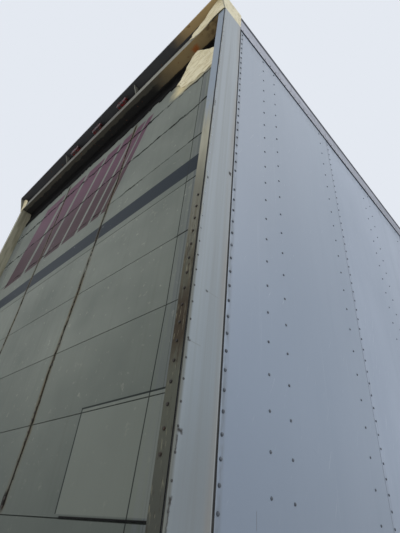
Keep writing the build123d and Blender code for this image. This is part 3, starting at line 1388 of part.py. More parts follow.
def twin_wheel(x, side):
    """Two disc wheels face to face on a hub with its brake drum."""
    y = side * WHEEL_Y
    pieces = []
    for hand in (-side, side):
        rim = ring_y(rim_profile(hand), x, y)
        for n in range(HAND_HOLES):
            angle = 2 * pi * n / HAND_HOLES
            hole_x = x + HAND_HOLE_CIRCLE * sin(angle)
            hole_z = AXLE_Z + HAND_HOLE_CIRCLE * cos(angle)
            near, far = sorted((y + hand * DISC_THICK, y + hand * (TWIN_HALF + RIM_WELL_OUT)))
            rim -= tube_y(hole_x, near, far, hole_z, HAND_HOLE_RADIUS)
        pieces.append(rim)
    drum_start = -DISC_THICK - FIT
    drum_end = drum_start - DRUM_DEPTH
    bore = SPINDLE_RADIUS + FIT
    profile = [
        (HUB_OUT, 0),
        (HUB_OUT, HUB_CAP_RADIUS - HUB_CAP_CHAMFER),
        (HUB_OUT - HUB_CAP_CHAMFER, HUB_CAP_RADIUS),
        (HUB_OUT - HUB_CAP_DEPTH, HUB_CAP_RADIUS),
        (HUB_OUT - HUB_CAP_DEPTH, HUB_CAP_RADIUS + HUB_CAP_FLANGE),
        (DISC_THICK + FIT, HUB_RADIUS - HUB_STEP),
        (DISC_THICK + FIT, HUB_RADIUS),
        (drum_start, HUB_RADIUS),
        (drum_start, DISC_FLAT - DRUM_STEP),
        (drum_start - DRUM_SLOPE, DRUM_RADIUS),
        (drum_end, DRUM_RADIUS),
        (drum_end, DRUM_RADIUS - DRUM_WALL),
        (drum_start - DRUM_ROOT, DRUM_RADIUS - DRUM_WALL),
        (drum_start - DRUM_FLOOR, DISC_FLAT - DRUM_STEP - DRUM_FLOOR),
        (drum_start - DRUM_FLOOR, HUB_RADIUS - HUB_WALL_STEP),
        (drum_start - HUB_INNER_END, HUB_RADIUS - HUB_TAPER),
        (drum_start - HUB_INNER_END, bore),
        (HUB_BORE_END, bore),
        (HUB_BORE_END, 0),
    ]
    pieces.append(ring_y([(side * u, r) for u, r in profile], x, y))
    return pieces


def write(name, shape):
    """One STEP file for each named piece."""
    solids = shape if isinstance(shape, list) else [shape]
    solids = [solid for item in solids for solid in item.solids()]
    export_step(Compound(solids), f"parts/{name}.step")


def build():
    """Every piece by name, in the order it is made."""
    left_wall = side_wall()
    pieces = {
        "floor_deck": floor_deck(),
        "crossmembers": crossmembers(),
        "bottom_rails": bottom_rails(),
        "top_rails": top_rails(),
        "side_wall_left": left_wall,
        "side_wall_right": other_side(left_wall),
        "front_wall": front_wall(),
        "front_corner_posts": front_corner_posts(),
        "roof": roof(),
        "rear_header": rear_header(),
        "rear_posts": rear_posts(),
        "rear_sill": rear_sill(),
        "door_sections": door_sections(),
        "door_seal": door_seal(),
        "door_latch": door_latch(),
        "dock_bumpers": dock_bumpers(),
        "rear_guard": rear_guard(),
        "red_lamps": red_lamps(),
        "tail_lamps": tail_lamps(),
        "amber_lamps": amber_lamps(),
        "upper_coupler": upper_coupler(),
        "kingpin": kingpin(),
        "leg_tubes": leg_tubes(),
        "leg_feet": leg_feet(),
        "leg_braces": leg_braces(),
        "leg_drive": leg_drive(),
        "body_rails": body_rails(),
        "gladhands": gladhands(),
        "electric_socket": electric_socket(),
        "slider_frame": slider_frame(),
        "spring_hangers": spring_hangers(),
        "equalizers": equalizers(),
        "leaf_springs": leaf_springs(),
        "axles": axles(),
        "brake_gear": brake_gear(),
        "torque_arms": torque_arms(),
        "lock_pins": lock_pins(),
        "air_tank": air_tank(),
        "mud_flaps": mud_flaps(),
        "flap_hangers": flap_hangers(),
    }
    places = {
        "front_left": (FRONT_AXLE_X, 1),
        "front_right": (FRONT_AXLE_X, -1),
        "rear_left": (REAR_AXLE_X, 1),
        "rear_right": (REAR_AXLE_X, -1),
    }
    for place, (x, side) in places.items():
        pieces[f"tyres_{place}"] = tyres(x, side)
        pieces[f"wheel_{place}"] = twin_wheel(x, side)
    return pieces


os.makedirs("parts", exist_ok=True)
for name, shape in build().items():
    write(name, shape)
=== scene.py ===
import math
import random

import bmesh
import bpy
from mathutils import Matrix, Vector


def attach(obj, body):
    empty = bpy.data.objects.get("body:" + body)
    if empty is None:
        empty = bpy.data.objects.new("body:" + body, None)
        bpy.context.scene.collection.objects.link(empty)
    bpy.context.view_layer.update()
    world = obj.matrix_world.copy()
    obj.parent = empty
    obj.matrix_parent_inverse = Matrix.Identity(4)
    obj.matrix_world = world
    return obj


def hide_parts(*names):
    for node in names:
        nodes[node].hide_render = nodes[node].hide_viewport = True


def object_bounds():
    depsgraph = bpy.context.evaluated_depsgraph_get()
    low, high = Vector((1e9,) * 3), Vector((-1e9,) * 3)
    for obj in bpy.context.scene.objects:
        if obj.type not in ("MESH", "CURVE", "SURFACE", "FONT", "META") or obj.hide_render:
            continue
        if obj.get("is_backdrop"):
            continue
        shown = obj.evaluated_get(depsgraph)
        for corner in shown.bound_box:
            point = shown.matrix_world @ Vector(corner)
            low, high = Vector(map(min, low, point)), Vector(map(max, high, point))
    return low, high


# Box semi trailer with a roll-up rear door and a sliding tandem.
# Metres: x runs forward, y to the trailer's left, z up.

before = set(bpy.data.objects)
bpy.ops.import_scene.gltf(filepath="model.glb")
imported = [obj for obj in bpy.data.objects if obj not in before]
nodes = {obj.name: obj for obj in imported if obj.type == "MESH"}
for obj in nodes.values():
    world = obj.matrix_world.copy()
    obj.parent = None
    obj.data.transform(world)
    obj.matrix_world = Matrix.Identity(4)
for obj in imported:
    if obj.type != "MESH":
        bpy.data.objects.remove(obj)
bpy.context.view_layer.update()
print("trailer: frame loaded,", len(nodes), "nodes")

# Where the main faces of the trailer are
trailer = {
    "rear": -7.255,        # rear face of the posts
    "nose": 7.230,         # front wall
    "half": 1.219,         # outside of rails and posts
    "sheet": 1.215,        # outside of the side sheets
    "lap": 0.0012,         # each second sheet lies this much further in
    "postDepth": 0.128,
    "door": -7.180,        # outer face of the door
    "firstJoint": 1.688,   # lowest joint between two door sections
    "jointPitch": 0.2755,
    "firstLap": 1.044,     # first side sheet joint, from the rear face
    "lapPitch": 1.2192,
    "postPitch": 0.6096,   # wall posts at two foot centres
    "axleZ": 0.522,
    "wheelY": 0.908,
    "twinHalf": 0.165,
    "trackY": 0.445,
}
rear, nose, half = trailer["rear"], trailer["nose"], trailer["half"]
axlePlaces = {"rear": -5.855, "front": -4.610}
axleSpread = axlePlaces["front"] - axlePlaces["rear"]
bothSides = ((1, "left"), (-1, "right"))


def addObject(name, data):
    made = bpy.data.objects.new(name, data)
    bpy.context.scene.collection.objects.link(made)
    return made


# Camera: standing beside the right rear corner, looking up and forward

viewpoint = {
    "place": (-7.799, -1.832, 1.656),
    "heading": 47.347,     # degrees from straight ahead towards the left
    "lift": 36.205,        # degrees above the horizon
    "roll": 6.248,
    "focal": 383.25,       # in pixels of a picture this tall
    "pictureHeight": 533,
    "sensor": 36,
}


def setCamera(view):
    heading, lift, roll = (math.radians(view[key]) for key in ("heading", "lift", "roll"))
    ahead = Vector((math.cos(lift) * math.cos(heading), math.cos(lift) * math.sin(heading), math.sin(lift)))
    level = Vector((math.sin(heading), -math.cos(heading), 0))
    over = level.cross(ahead)
    right = math.cos(roll) * level + math.sin(roll) * over
    top = -math.sin(roll) * level + math.cos(roll) * over
    data = bpy.data.cameras.new("rearCornerCamera")
    data.sensor_width = view["sensor"]
    data.lens = view["focal"] * view["sensor"] / view["pictureHeight"]
    data.clip_start, data.clip_end = 0.05, 300
    camera = addObject("rearCornerCamera", data)
    turn = Matrix((right, top, -ahead)).transposed()
    camera.matrix_world = Matrix.Translation(view["place"]) @ turn.to_4x4()
    bpy.context.scene.camera = camera


setCamera(viewpoint)
print("trailer: camera set")


# Tools for the materials and for the node trees

def hexColour(text):
    # sRGB hex to the linear values that a shader takes
    parts = [int(text[i:i + 2], 16) / 255 for i in (1, 3, 5)]
    return (*[p / 12.92 if p <= 0.04045 else ((p + 0.055) / 1.055) ** 2.4 for p in parts], 1.0)


def feed(tree, socket, value):
    # value: another node's output or a plain value
    if isinstance(value, bpy.types.NodeSocket):
        tree.links.new(value, socket)
    else:
        socket.default_value = value


def addNode(tree, kind, inputs=None, **settings):
    node = tree.nodes.new(kind)
    for name, value in settings.items():
        setattr(node, name, value)
    for key, value in (inputs or {}).items():
        feed(tree, node.inputs[key], value)
    return node


def compute(tree, operation, *values):
    return addNode(tree, "ShaderNodeMath", dict(enumerate(values)), operation=operation).outputs[0]


def ramp(tree, value, start, end, top=1.0, kind="SMOOTHSTEP"):
    # nothing before the start, then up to the top at the end
    node = addNode(tree, "ShaderNodeMapRange", {
        "Value": value, "From Min": start, "From Max": end, "To Max": top}, interpolation_type=kind)
    return node.outputs[0]


def mixColour(tree, share, under, over):
    return addNode(tree, "ShaderNodeMix", {0: share, 6: under, 7: over}, data_type="RGBA").outputs[2]


def alongAxis(tree, spot, axis):
    # distance along x, y or z, from the middle plane ("Side"), or along a slanted direction given as a vector
    if not isinstance(axis, str):
        node = addNode(tree, "ShaderNodeVectorMath", {0: spot, 1: axis}, operation="DOT_PRODUCT")
        return node.outputs["Value"]
    parts = addNode(tree, "ShaderNodeSeparateXYZ", {0: spot}).outputs
    return compute(tree, "ABSOLUTE", parts["Y"]) if axis == "Side" else parts[axis]


def wearMask(tree, spot, layer):
    # how much of one layer of paint, dirt or rust lies at each spot, from 0 to 1
    # grain: size of one patch in mm along x, y, z; cover: how much of the noise counts
    # cells: size of one cell in mm, each with a tone of its own
    # tone: (axis, first, pitch), one tone for each stretch of that length
    # bands: (axis, from, to, soft edge[, ragged mm, lump mm])
    # rings: (inner radius, outer radius, soft edge) about the axles
    # lines: (axis, first, pitch, half width, soft edge)
    mask = layer.get("amount", 1.0)
    if "grain" in layer:
        low, high = layer["cover"]
        stretch = addNode(tree, "ShaderNodeMapping", {
            "Vector": spot,
            "Location": [layer.get("seed", 0) * 1.37] * 3,
            "Rotation": [math.radians(a) for a in layer.get("sway", (0, 0, 0))],
            "Scale": [g / 1000 for g in layer["grain"]],
        }, vector_type="TEXTURE")
        noise = addNode(tree, "ShaderNodeTexNoise", {
            "Vector": stretch.outputs[0], "Scale": 1.0, "Detail": layer.get("detail", 3.0), "Roughness": 0.6})
        mask = ramp(tree, noise.outputs[0], low, high, mask, "LINEAR")
    if "cells" in layer:
        cell = addNode(tree, "ShaderNodeTexVoronoi", {"Vector": spot, "Scale": 1000 / layer["cells"]})
        mask = ramp(tree, cell.outputs["Color"], 0.2, 0.9, mask, "LINEAR")
    if "tone" in layer:
        axis, first, pitch = layer["tone"]
        shift = compute(tree, "SUBTRACT", alongAxis(tree, spot, axis), first)
        count = compute(tree, "FLOOR", compute(tree, "DIVIDE", shift, pitch))
        tone = addNode(tree, "ShaderNodeTexWhiteNoise", {"W": count}, noise_dimensions="1D")
        mask = compute(tree, "MULTIPLY", tone.outputs[0], mask)
    for axis, low, high, soft, *ragged in layer.get("bands", []):
        place = alongAxis(tree, spot, axis)
        if ragged:
            deep, lump = ragged
            lumps = addNode(tree, "ShaderNodeTexNoise", {"Vector": spot, "Scale": 1000 / lump, "Detail": 4.0})
            place = compute(tree, "MULTIPLY_ADD", lumps.outputs[0], deep / 1000, place)
            low, high = low + deep / 2000, high + deep / 2000
        rise = ramp(tree, place, low - soft, low + soft, mask)
        mask = ramp(tree, place, high + soft, high - soft, rise)
    for low, high, soft in layer.get("rings", []):
        # distance from the nearer axle's line, since the two axles stand one spread apart
        ahead = compute(tree, "SUBTRACT", alongAxis(tree, spot, "X"), axlePlaces["rear"])
        ahead = compute(tree, "PINGPONG", ahead, axleSpread / 2)
        above = compute(tree, "SUBTRACT", alongAxis(tree, spot, "Z"), trailer["axleZ"])
        flat = addNode(tree, "ShaderNodeCombineXYZ", {0: ahead, 1: above})
        length = addNode(tree, "ShaderNodeVectorMath", {0: flat.outputs[0]}, operation="LENGTH")
        radius = length.outputs["Value"]
        rise = ramp(tree, radius, low - soft, low + soft, mask, "LINEAR")
        mask = ramp(tree, radius, high + soft, high - soft, rise, "LINEAR")
    for axis, first, pitch, reach, soft in layer.get("lines", []):
        shift = compute(tree, "SUBTRACT", alongAxis(tree, spot, axis), first)
        near = compute(tree, "PINGPONG", shift, pitch / 2)
        mask = ramp(tree, near, reach + soft, reach - soft, mask)
    return mask


def stain(colour, amount, *bands, **more):
    # one layer of a finish with clean edges; bands limit where it lies
    return {"hex": colour, "amount": amount, "bands": bands, **more}


def patches(colour, amount, grain, cover, *bands, **more):
    # one layer of a finish that noise breaks up
    return stain(colour, amount, *bands, grain=grain, cover=cover, **more)


def waves(lift, grain, seed, **more):
    # uneven ground without a colour of its own
    return {"grain": grain, "cover": (0.3, 0.7), "lift": lift, "seed": seed, **more}


def makeFinish(name, finish):
    # base: sRGB hex; layers: stains, patches and waves laid over it in turn; lift: how far one stands, in mm
    material = bpy.data.materials.new(name)
    material.use_nodes = True
    tree = material.node_tree
    shader = tree.nodes["Principled BSDF"]
    for socket, value in finish.get("shader", {}).items():
        shader.inputs[socket].default_value = value
    spot = addNode(tree, "ShaderNodeTexCoord").outputs["Object"]
    colour, roughness, height = hexColour(finish["base"]), finish["roughness"], 0.0
    for layer in finish["layers"]:
        mask = wearMask(tree, spot, layer)
        if "hex" in layer:
            over = hexColour(layer["hex"])
            if "fade" in layer:
                axis, low, high, other = layer["fade"]
                share = ramp(tree, alongAxis(tree, spot, axis), low, high)
                over = mixColour(tree, share, over, hexColour(other))
            colour = mixColour(tree, mask, colour, over)
        if "rough" in layer:
            roughness = addNode(tree, "ShaderNodeMix", {0: mask, 2: roughness, 3: layer["rough"]}).outputs[0]
        if "lift" in layer:
            height = compute(tree, "MULTIPLY_ADD", mask, layer["lift"] / 1000, height)
    feed(tree, shader.inputs["Base Color"], colour)
    feed(tree, shader.inputs["Roughness"], roughness)
    if isinstance(height, bpy.types.NodeSocket):
        bump = addNode(tree, "ShaderNodeBump", {"Height": height, "Distance": 1.0, "Strength": 1.0})
        tree.links.new(bump.outputs[0], shader.inputs["Normal"])
    return material


# Finishes. Each one starts from the real material; sizes of patches are in mm.

enamel, rubbery, bareMetal = {"IOR": 1.5}, {"IOR": 1.52}, {"Metallic": 1.0}

postFront = rear + trailer["postDepth"]
lapX = rear + trailer["firstLap"]
studX = rear + 0.3838      # middle of the first wall post

# Pre-painted aluminium sheet, rolled enamel: even semi-gloss white, with the blue-grey it shows in shade
# painted in as painted shade, a little wavy between the wall posts, greyed by washing and road film, with
# vertical runs and long fine scratches
sheetPaint = makeFinish("enamelled_side_sheet", {
    "base": "#7e8b9c", "roughness": 0.34, "shader": enamel,
    "layers": [
        stain("#8b95a8", 0.75, tone=("X", lapX, trailer["lapPitch"])),
        # painted shade: the rearmost sheet darker, most of all high up behind the post, where it reflects
        # less sky
        stain("#5a6471", 0.24, ("X", rear, lapX, 0.001)),
        stain("#5a6471", 0.22, ("X", rear, rear + 0.55, 0.30), ("Z", 2.55, 4.2, 0.30)),
        patches("#717e8f", 0.6, (800, 800, 1500), (0.42, 0.72), rough=0.42),
        patches("#707d8b", 0.24, (70, 70, 1500), (0.50, 0.85), seed=2, rough=0.5),
        patches("#a5aebb", 0.16, (16, 16, 700), (0.64, 0.82), seed=3),
        patches("#b9c1cb", 0.5, (2.6, 2.6, 150), (0.69, 0.72), sway=(0, 24, 0), seed=4),
        patches("#5f6975", 0.5, (2.4, 2.4, 110), (0.72, 0.75), sway=(0, -62, 0), seed=5),
        stain("#343a42", 0.8, ("X", rear + 0.2772, rear + 0.2788, 0.0006), ("Z", 1.697, 1.735, 0.003, 3, 8),
            lift=-0.2),
        patches("#5a6167", 0.6, (16, 16, 70), (0.36, 0.56), ("X", rear + 0.126, rear + 0.156, 0.008),
            rough=0.6),
        stain("#a4adb8", 0.25, ("X", rear + 0.1395, rear + 0.1425, 0.001)),
        stain("#14171c", 1.0, lines=[("X", lapX, trailer["lapPitch"], 0.0024, 0.0012)], rough=0.7, lift=-0.6),
        patches("#6b7584", 0.6, (14, 14, 90), (0.45, 0.62),
            lines=[("X", lapX + 0.014, trailer["lapPitch"], 0.011, 0.006)]),
        # road film: an even grey haze low down, with the runs that rain has cut through it
        stain("#565f6a", 0.32, ("Z", 1.0, 1.82, 0.30), rough=0.5),
        stain("#666a6e", 0.45, ("Z", 1.20, 1.36, 0.20), rough=0.6),
        patches("#5b5f63", 0.6, (18, 18, 320), (0.40, 0.72), ("Z", 1.20, 1.46, 0.16), rough=0.65, seed=6),
        patches("#5d6670", 0.45, (40, 40, 160), (0.4, 0.7), ("Z", 3.86, 3.95, 0.05), rough=0.6),
        {"lines": [("X", studX, trailer["postPitch"], 0.075, 0.06)], "lift": 0.5},
        waves(1.1, (420, 420, 700), 7, detail=1.0),
        waves(0.22, (120, 120, 260), 8, detail=1.0),
    ]})

# Cold-rolled steel post, sprayed enamel: smooth light grey side face with rubbed vertical smears and gouges
# down to dark steel; the narrow rear face has rusted through to olive brown below and chalked cream above
stripFace = ("X", rear - 0.01, rear + 0.0012, 0.0004)
# inwards of the post's rounded outer corner, and past it
strip, corner = ("Side", 1.0, 1.2118, 0.001), ("Side", 1.2178, 1.23, 0.0004)
scuffs = [
    # along x from the rear face, height, half length along x, half height
    (0.014, 1.846, 0.0075, 0.0035), (0.0095, 1.820, 0.0016, 0.017), (0.010, 1.722, 0.0034, 0.007),
    (0.009, 1.694, 0.0013, 0.022), (0.012, 2.047, 0.0045, 0.002), (0.055, 2.206, 0.0045, 0.002),
    (0.021, 1.842, 0.003, 0.0015), (0.007, 1.470, 0.002, 0.030), (0.012, 2.620, 0.003, 0.005),
    (0.006, 3.050, 0.0015, 0.018), (0.098, 1.380, 0.004, 0.003), (0.116, 2.733, 0.006, 0.008),
]
postPaint = makeFinish("sprayed_post_enamel", {
    "base": "#717b82", "roughness": 0.4, "shader": enamel,
    "layers": [
        patches("#686f72", 0.7, (22, 22, 1400), (0.42, 0.68), rough=0.5),
        stain("#5f6466", 0.45, ("Z", 1.0, 1.86, 0.14), rough=0.55),
        patches("#879197", 0.35, (34, 34, 1100), (0.55, 0.82), seed=2),
        patches("#746f68", 0.62, (30, 30, 500), (0.24, 0.56), ("X", rear + 0.108, postFront + 0.01, 0.014),
            seed=3, rough=0.55),
        patches("#7a7c73", 0.7, (10, 10, 90), (0.4, 0.6), ("X", rear, rear + 0.007, 0.004), rough=0.6),
        # a light line just before the seam: painted highlight on the post's rolled edge
        stain("#9aa0a3", 0.45, ("X", postFront - 0.0045, postFront - 0.0022, 0.0010)),
        stain("#2b2c2d", 0.95, ("X", postFront - 0.0022, postFront + 0.01, 0.0008), rough=0.8),
        patches("#707678", 0.6, (3, 3, 46), (0.70, 0.74), sway=(0, 74, 0), seed=4),
        stain("#5f6668", 0.7, ("X", rear + 0.010, rear + 0.050, 0.006), ("Z", 2.0452, 2.0474, 0.0012)),
        stain("#5f6668", 0.6, ("X", rear + 0.052, rear + 0.100, 0.006), ("Z", 2.2052, 2.2074, 0.0012)),
        # the rear face: chalked cream paint, then rust from below
        stain("#7b858e", 1.0, stripFace, rough=0.6),
        patches("#9c9881", 0.85, (60, 60, 300), (0.2, 0.34), strip, rough=0.65),
        patches("#6f6a55", 0.7, (30, 30, 260), (0.46, 0.62), strip, seed=9),
        stain("#7b8794", 1.0, stripFace, ("Y", -1.3, -1.0, 0.01), ("Z", 2.97, 4.2, 0.10), rough=0.6),
        patches("#8e8b78", 0.7, (24, 24, 200), (0.36, 0.58), stripFace, ("Z", 2.5, 3.05, 0.20), seed=5),
        stain("#5f5f54", 0.92, stripFace, ("Z", 1.0, 2.70, 0.16), rough=0.8),
        stain("#3f3f32", 0.92, stripFace, ("Z", 1.0, 2.36, 0.10), rough=0.82),
        stain("#33352e", 0.95, stripFace, ("Z", 1.0, 1.99, 0.04), fade=("Z", 1.66, 1.92, "#43453a")),
        patches("#4a4230", 0.7, (12, 12, 150), (0.46, 0.64), stripFace, ("Z", 2.0, 2.52, 0.16), seed=6,
            rough=0.9, lift=0.15),
        patches("#2b200f", 0.93, (14, 14, 60), (0.28, 0.44), stripFace, ("Z", 2.02, 2.19, 0.05, 60, 60),
            rough=0.95),
        patches("#2a2218", 0.75, (8, 8, 38), (0.58, 0.66), stripFace, ("Z", 1.0, 2.45, 0.15), seed=7,
            rough=0.95, lift=-0.2),
        patches("#7d7a66", 0.6, (7, 7, 40), (0.60, 0.70), stripFace, seed=8),
        stain("#0b0b0a", 1.0, ("X", rear - 0.01, rear + 0.0020, 0.0003), ("Side", 1.2120, 1.2180, 0.0005),
            rough=0.9),
        patches("#3a3830", 0.8, (8, 8, 60), (0.4, 0.55), ("X", rear - 0.01, rear + 0.0022, 0.0006), corner),
        stain("#535650", 0.8, ("X", rear + 0.0005, rear + 0.0095, 0.0045), corner,
            ("Z", 1.0, 2.32, 0.12), rough=0.7),
    ] + [
        stain("#23211f", 0.95, ("X", rear + x - long, rear + x + long, 0.002, 8, 9),
            ("Z", z - tall, z + tall, 0.003, 8, 9), rough=0.85, lift=-0.5)
        for x, z, long, tall in scuffs
    ]})

# Folded steel header, the same enamel, with painted shade in the lamp recess and below, painted sunlight in
# cream at its right end and corners, rust at its welds
# the header's underside, and the face of the cover over its lamps
soffit, lampCover = ("Z", 3.9, 3.9568, 0.0004), ("X", rear - 0.06, rear - 0.0435, 0.0005)
headerPaint = makeFinish("header_enamel_painted_shade_sun", {
    "base": "#86867c", "roughness": 0.6, "shader": {"IOR": 1.5, "Specular IOR Level": 0.35},
    "layers": [
        patches("#7b7a6e", 0.7, (160, 60, 30), (0.42, 0.66)),
        # darker from near the right end leftwards, leaving the right end light as painted sunlight
        stain("#5d5c57", 0.85, ("X", rear - 0.06, rear + 0.06, 0.004), ("Y", -0.45, 1.21, 0.25), rough=0.7),
        # painted shade in the lamp recess under the visor, and on the visor's underside
        stain("#2b2c30", 0.94, ("X", rear + 0.004, rear + 0.06, 0.004), ("Z", 3.99, 4.092, 0.004), rough=0.8),
        stain("#2f3034", 0.95, ("Z", 4.0835, 4.0965, 0.002), ("X", rear - 0.06, rear + 0.02, 0.002),
            rough=0.75),
        stain("#2b2d31", 0.95, lampCover, ("Y", -0.86, 1.14, 0.14, 60, 40), rough=0.6),
        # painted sunlight: tan along the top of the cover at its right end
        stain("#a98f62", 0.9, ("X", rear - 0.06, rear + 0.0, 0.0005), ("Z", 4.082, 4.099, 0.001),
            ("Y", -1.3, -0.88, 0.10, 60, 40), rough=0.6),
        stain("#1d1e20", 0.9, lampCover, ("Z", 4.0985, 4.11, 0.0006)),
        # the underside in front of the door: painted shade, partly soot, black deeper in towards the door,
        # painted sunlight in tan at its right end, and rust
        stain("#3d3a31", 0.95, soffit, rough=0.85),
        stain("#121212", 0.95, soffit, ("X", rear + 0.030, rear + 0.20, 0.006, 34, 70),
            ("Y", -0.62, 1.3, 0.05, 60, 60), rough=0.95),
        stain("#8c7853", 0.9, soffit, ("Y", -1.2, -0.72, 0.14, 80, 50)),
        patches("#4a3a28", 0.8, (20, 26, 20), (0.4, 0.6), soffit, ("Y", -1.16, -1.06, 0.05, 40, 30)),
        stain("#94511f", 0.95, soffit, ("Y", -0.978, -0.934, 0.015, 22, 12),
            ("X", rear + 0.030, rear + 0.060, 0.009, 16, 12)),
        stain("#0b0b0b", 0.97, soffit, ("X", rear + 0.070, rear + 0.20, 0.003, 10, 30), rough=0.95),
        # painted sunlight: cream at both corners
        stain("#cdc5a6", 0.9, ("Y", -1.23, -1.2185, 0.0004), rough=0.55),
        stain("#cdc5a6", 0.9, ("Y", 1.2185, 1.23, 0.0004), rough=0.55),
        patches("#a79d7d", 0.7, (20, 20, 40), (0.5, 0.62), ("Y", -1.23, -1.2, 0.0004), seed=3),
        patches("#6a3f22", 0.7, (16, 24, 16), (0.66, 0.72), seed=5, rough=0.9),
    ]})

# Sill and rear guard: the same grey-white enamel on heavy plate, knocked by docks, rust through its chips
sillPaint = makeFinish("dock_worn_sill_enamel", {
    "base": "#8f9190", "roughness": 0.5, "shader": enamel,
    "layers": [
        patches("#6f6f69", 0.7, (220, 220, 90), (0.42, 0.68), rough=0.65),
        patches("#4d4339", 0.6, (14, 14, 90), (0.56, 0.72), seed=2, rough=0.8),
        patches("#6a5140", 0.5, (9, 11, 130), (0.60, 0.74), seed=6, rough=0.8),
        patches("#5b3a24", 0.85, (9, 12, 8), (0.63, 0.68), seed=3, rough=0.92, lift=-0.3),
        patches("#2c2826", 0.7, (60, 70, 4), (0.66, 0.70), seed=4, lift=-0.2),
    ]})

# Plywood door sections with a baked polyester face: satin warm white, with the grey-green it shows in shade
# painted in as painted shade, hand and road grime, thin rust trails below the hinge bolts, dark grime in the
# joints, a navy band and worn maroon bars, lilac higher up as a painted reflection
doorFace = ("X", trailer["door"] - 0.02, trailer["door"] + 0.0004, 0.0002)
jointZ, jointPitch = trailer["firstJoint"], trailer["jointPitch"]
barLean = (0.0, 1.0, 0.34)      # the bars lean towards the trailer's left as they rise
barEdges = [
    # where each bar starts and ends across the door at its foot, in metres from the middle
    (0.62, 0.90), (0.34, 0.57), (0.11, 0.30), (-0.07, 0.08), (-0.21, -0.10), (-0.315, -0.235),
    (-0.39, -0.335),
]
barFoot, barHead = 3.035, 3.700


def barLayers():
    layers = []
    for low, high in barEdges:
        shift = barLean[2] * barFoot
        # each bar fades from dark maroon at its foot into lilac higher up: a painted reflection
        layers.append(patches("#33151d", 0.98, (30, 30, 60), (0.22, 0.30), doorFace,
                          (barLean, low + shift, high + shift, 0.0014), ("Z", barFoot, barHead, 0.0014),
                          fade=("Z", barFoot + 0.16, barFoot + 0.50, "#543344"), rough=0.5))
    return layers


def trailLayers():
    # rust that has run down from the hinge bolts in wandering trails: tan edge, brown middle, black scabs
    layers = []
    tall = ("Z", 1.70, 3.75, 0.02)
    for slant, middle in (((0, 1, 0.05), -0.2445), ((0, -1, 0), -0.365)):
        # each layer's half width and soft edge, then how far the trail wanders
        run = [(slant, middle - wide, middle + wide, soft, 44, 420)
               for wide, soft in ((0.018, 0.009), (0.0075, 0.004), (0.011, 0.005))]
        layers += [
            patches("#5a4f37", 0.75, (12, 12, 160), (0.34, 0.60), doorFace, tall, run[0]),
            patches("#1e160d", 0.94, (12, 12, 90), (0.33, 0.44), doorFace, tall, run[1], rough=0.9),
            patches("#0e0b07", 0.95, (14, 14, 30), (0.53, 0.60), doorFace, tall, run[2], seed=14,
                rough=0.95, lift=0.2),
            stain("#0e0a06", 0.95, doorFace, ("Z", 1.700, 1.752, 0.012, 16, 30),
                (slant, middle - 0.015, middle + 0.015, 0.005, 20, 30)),
        ]
    return layers


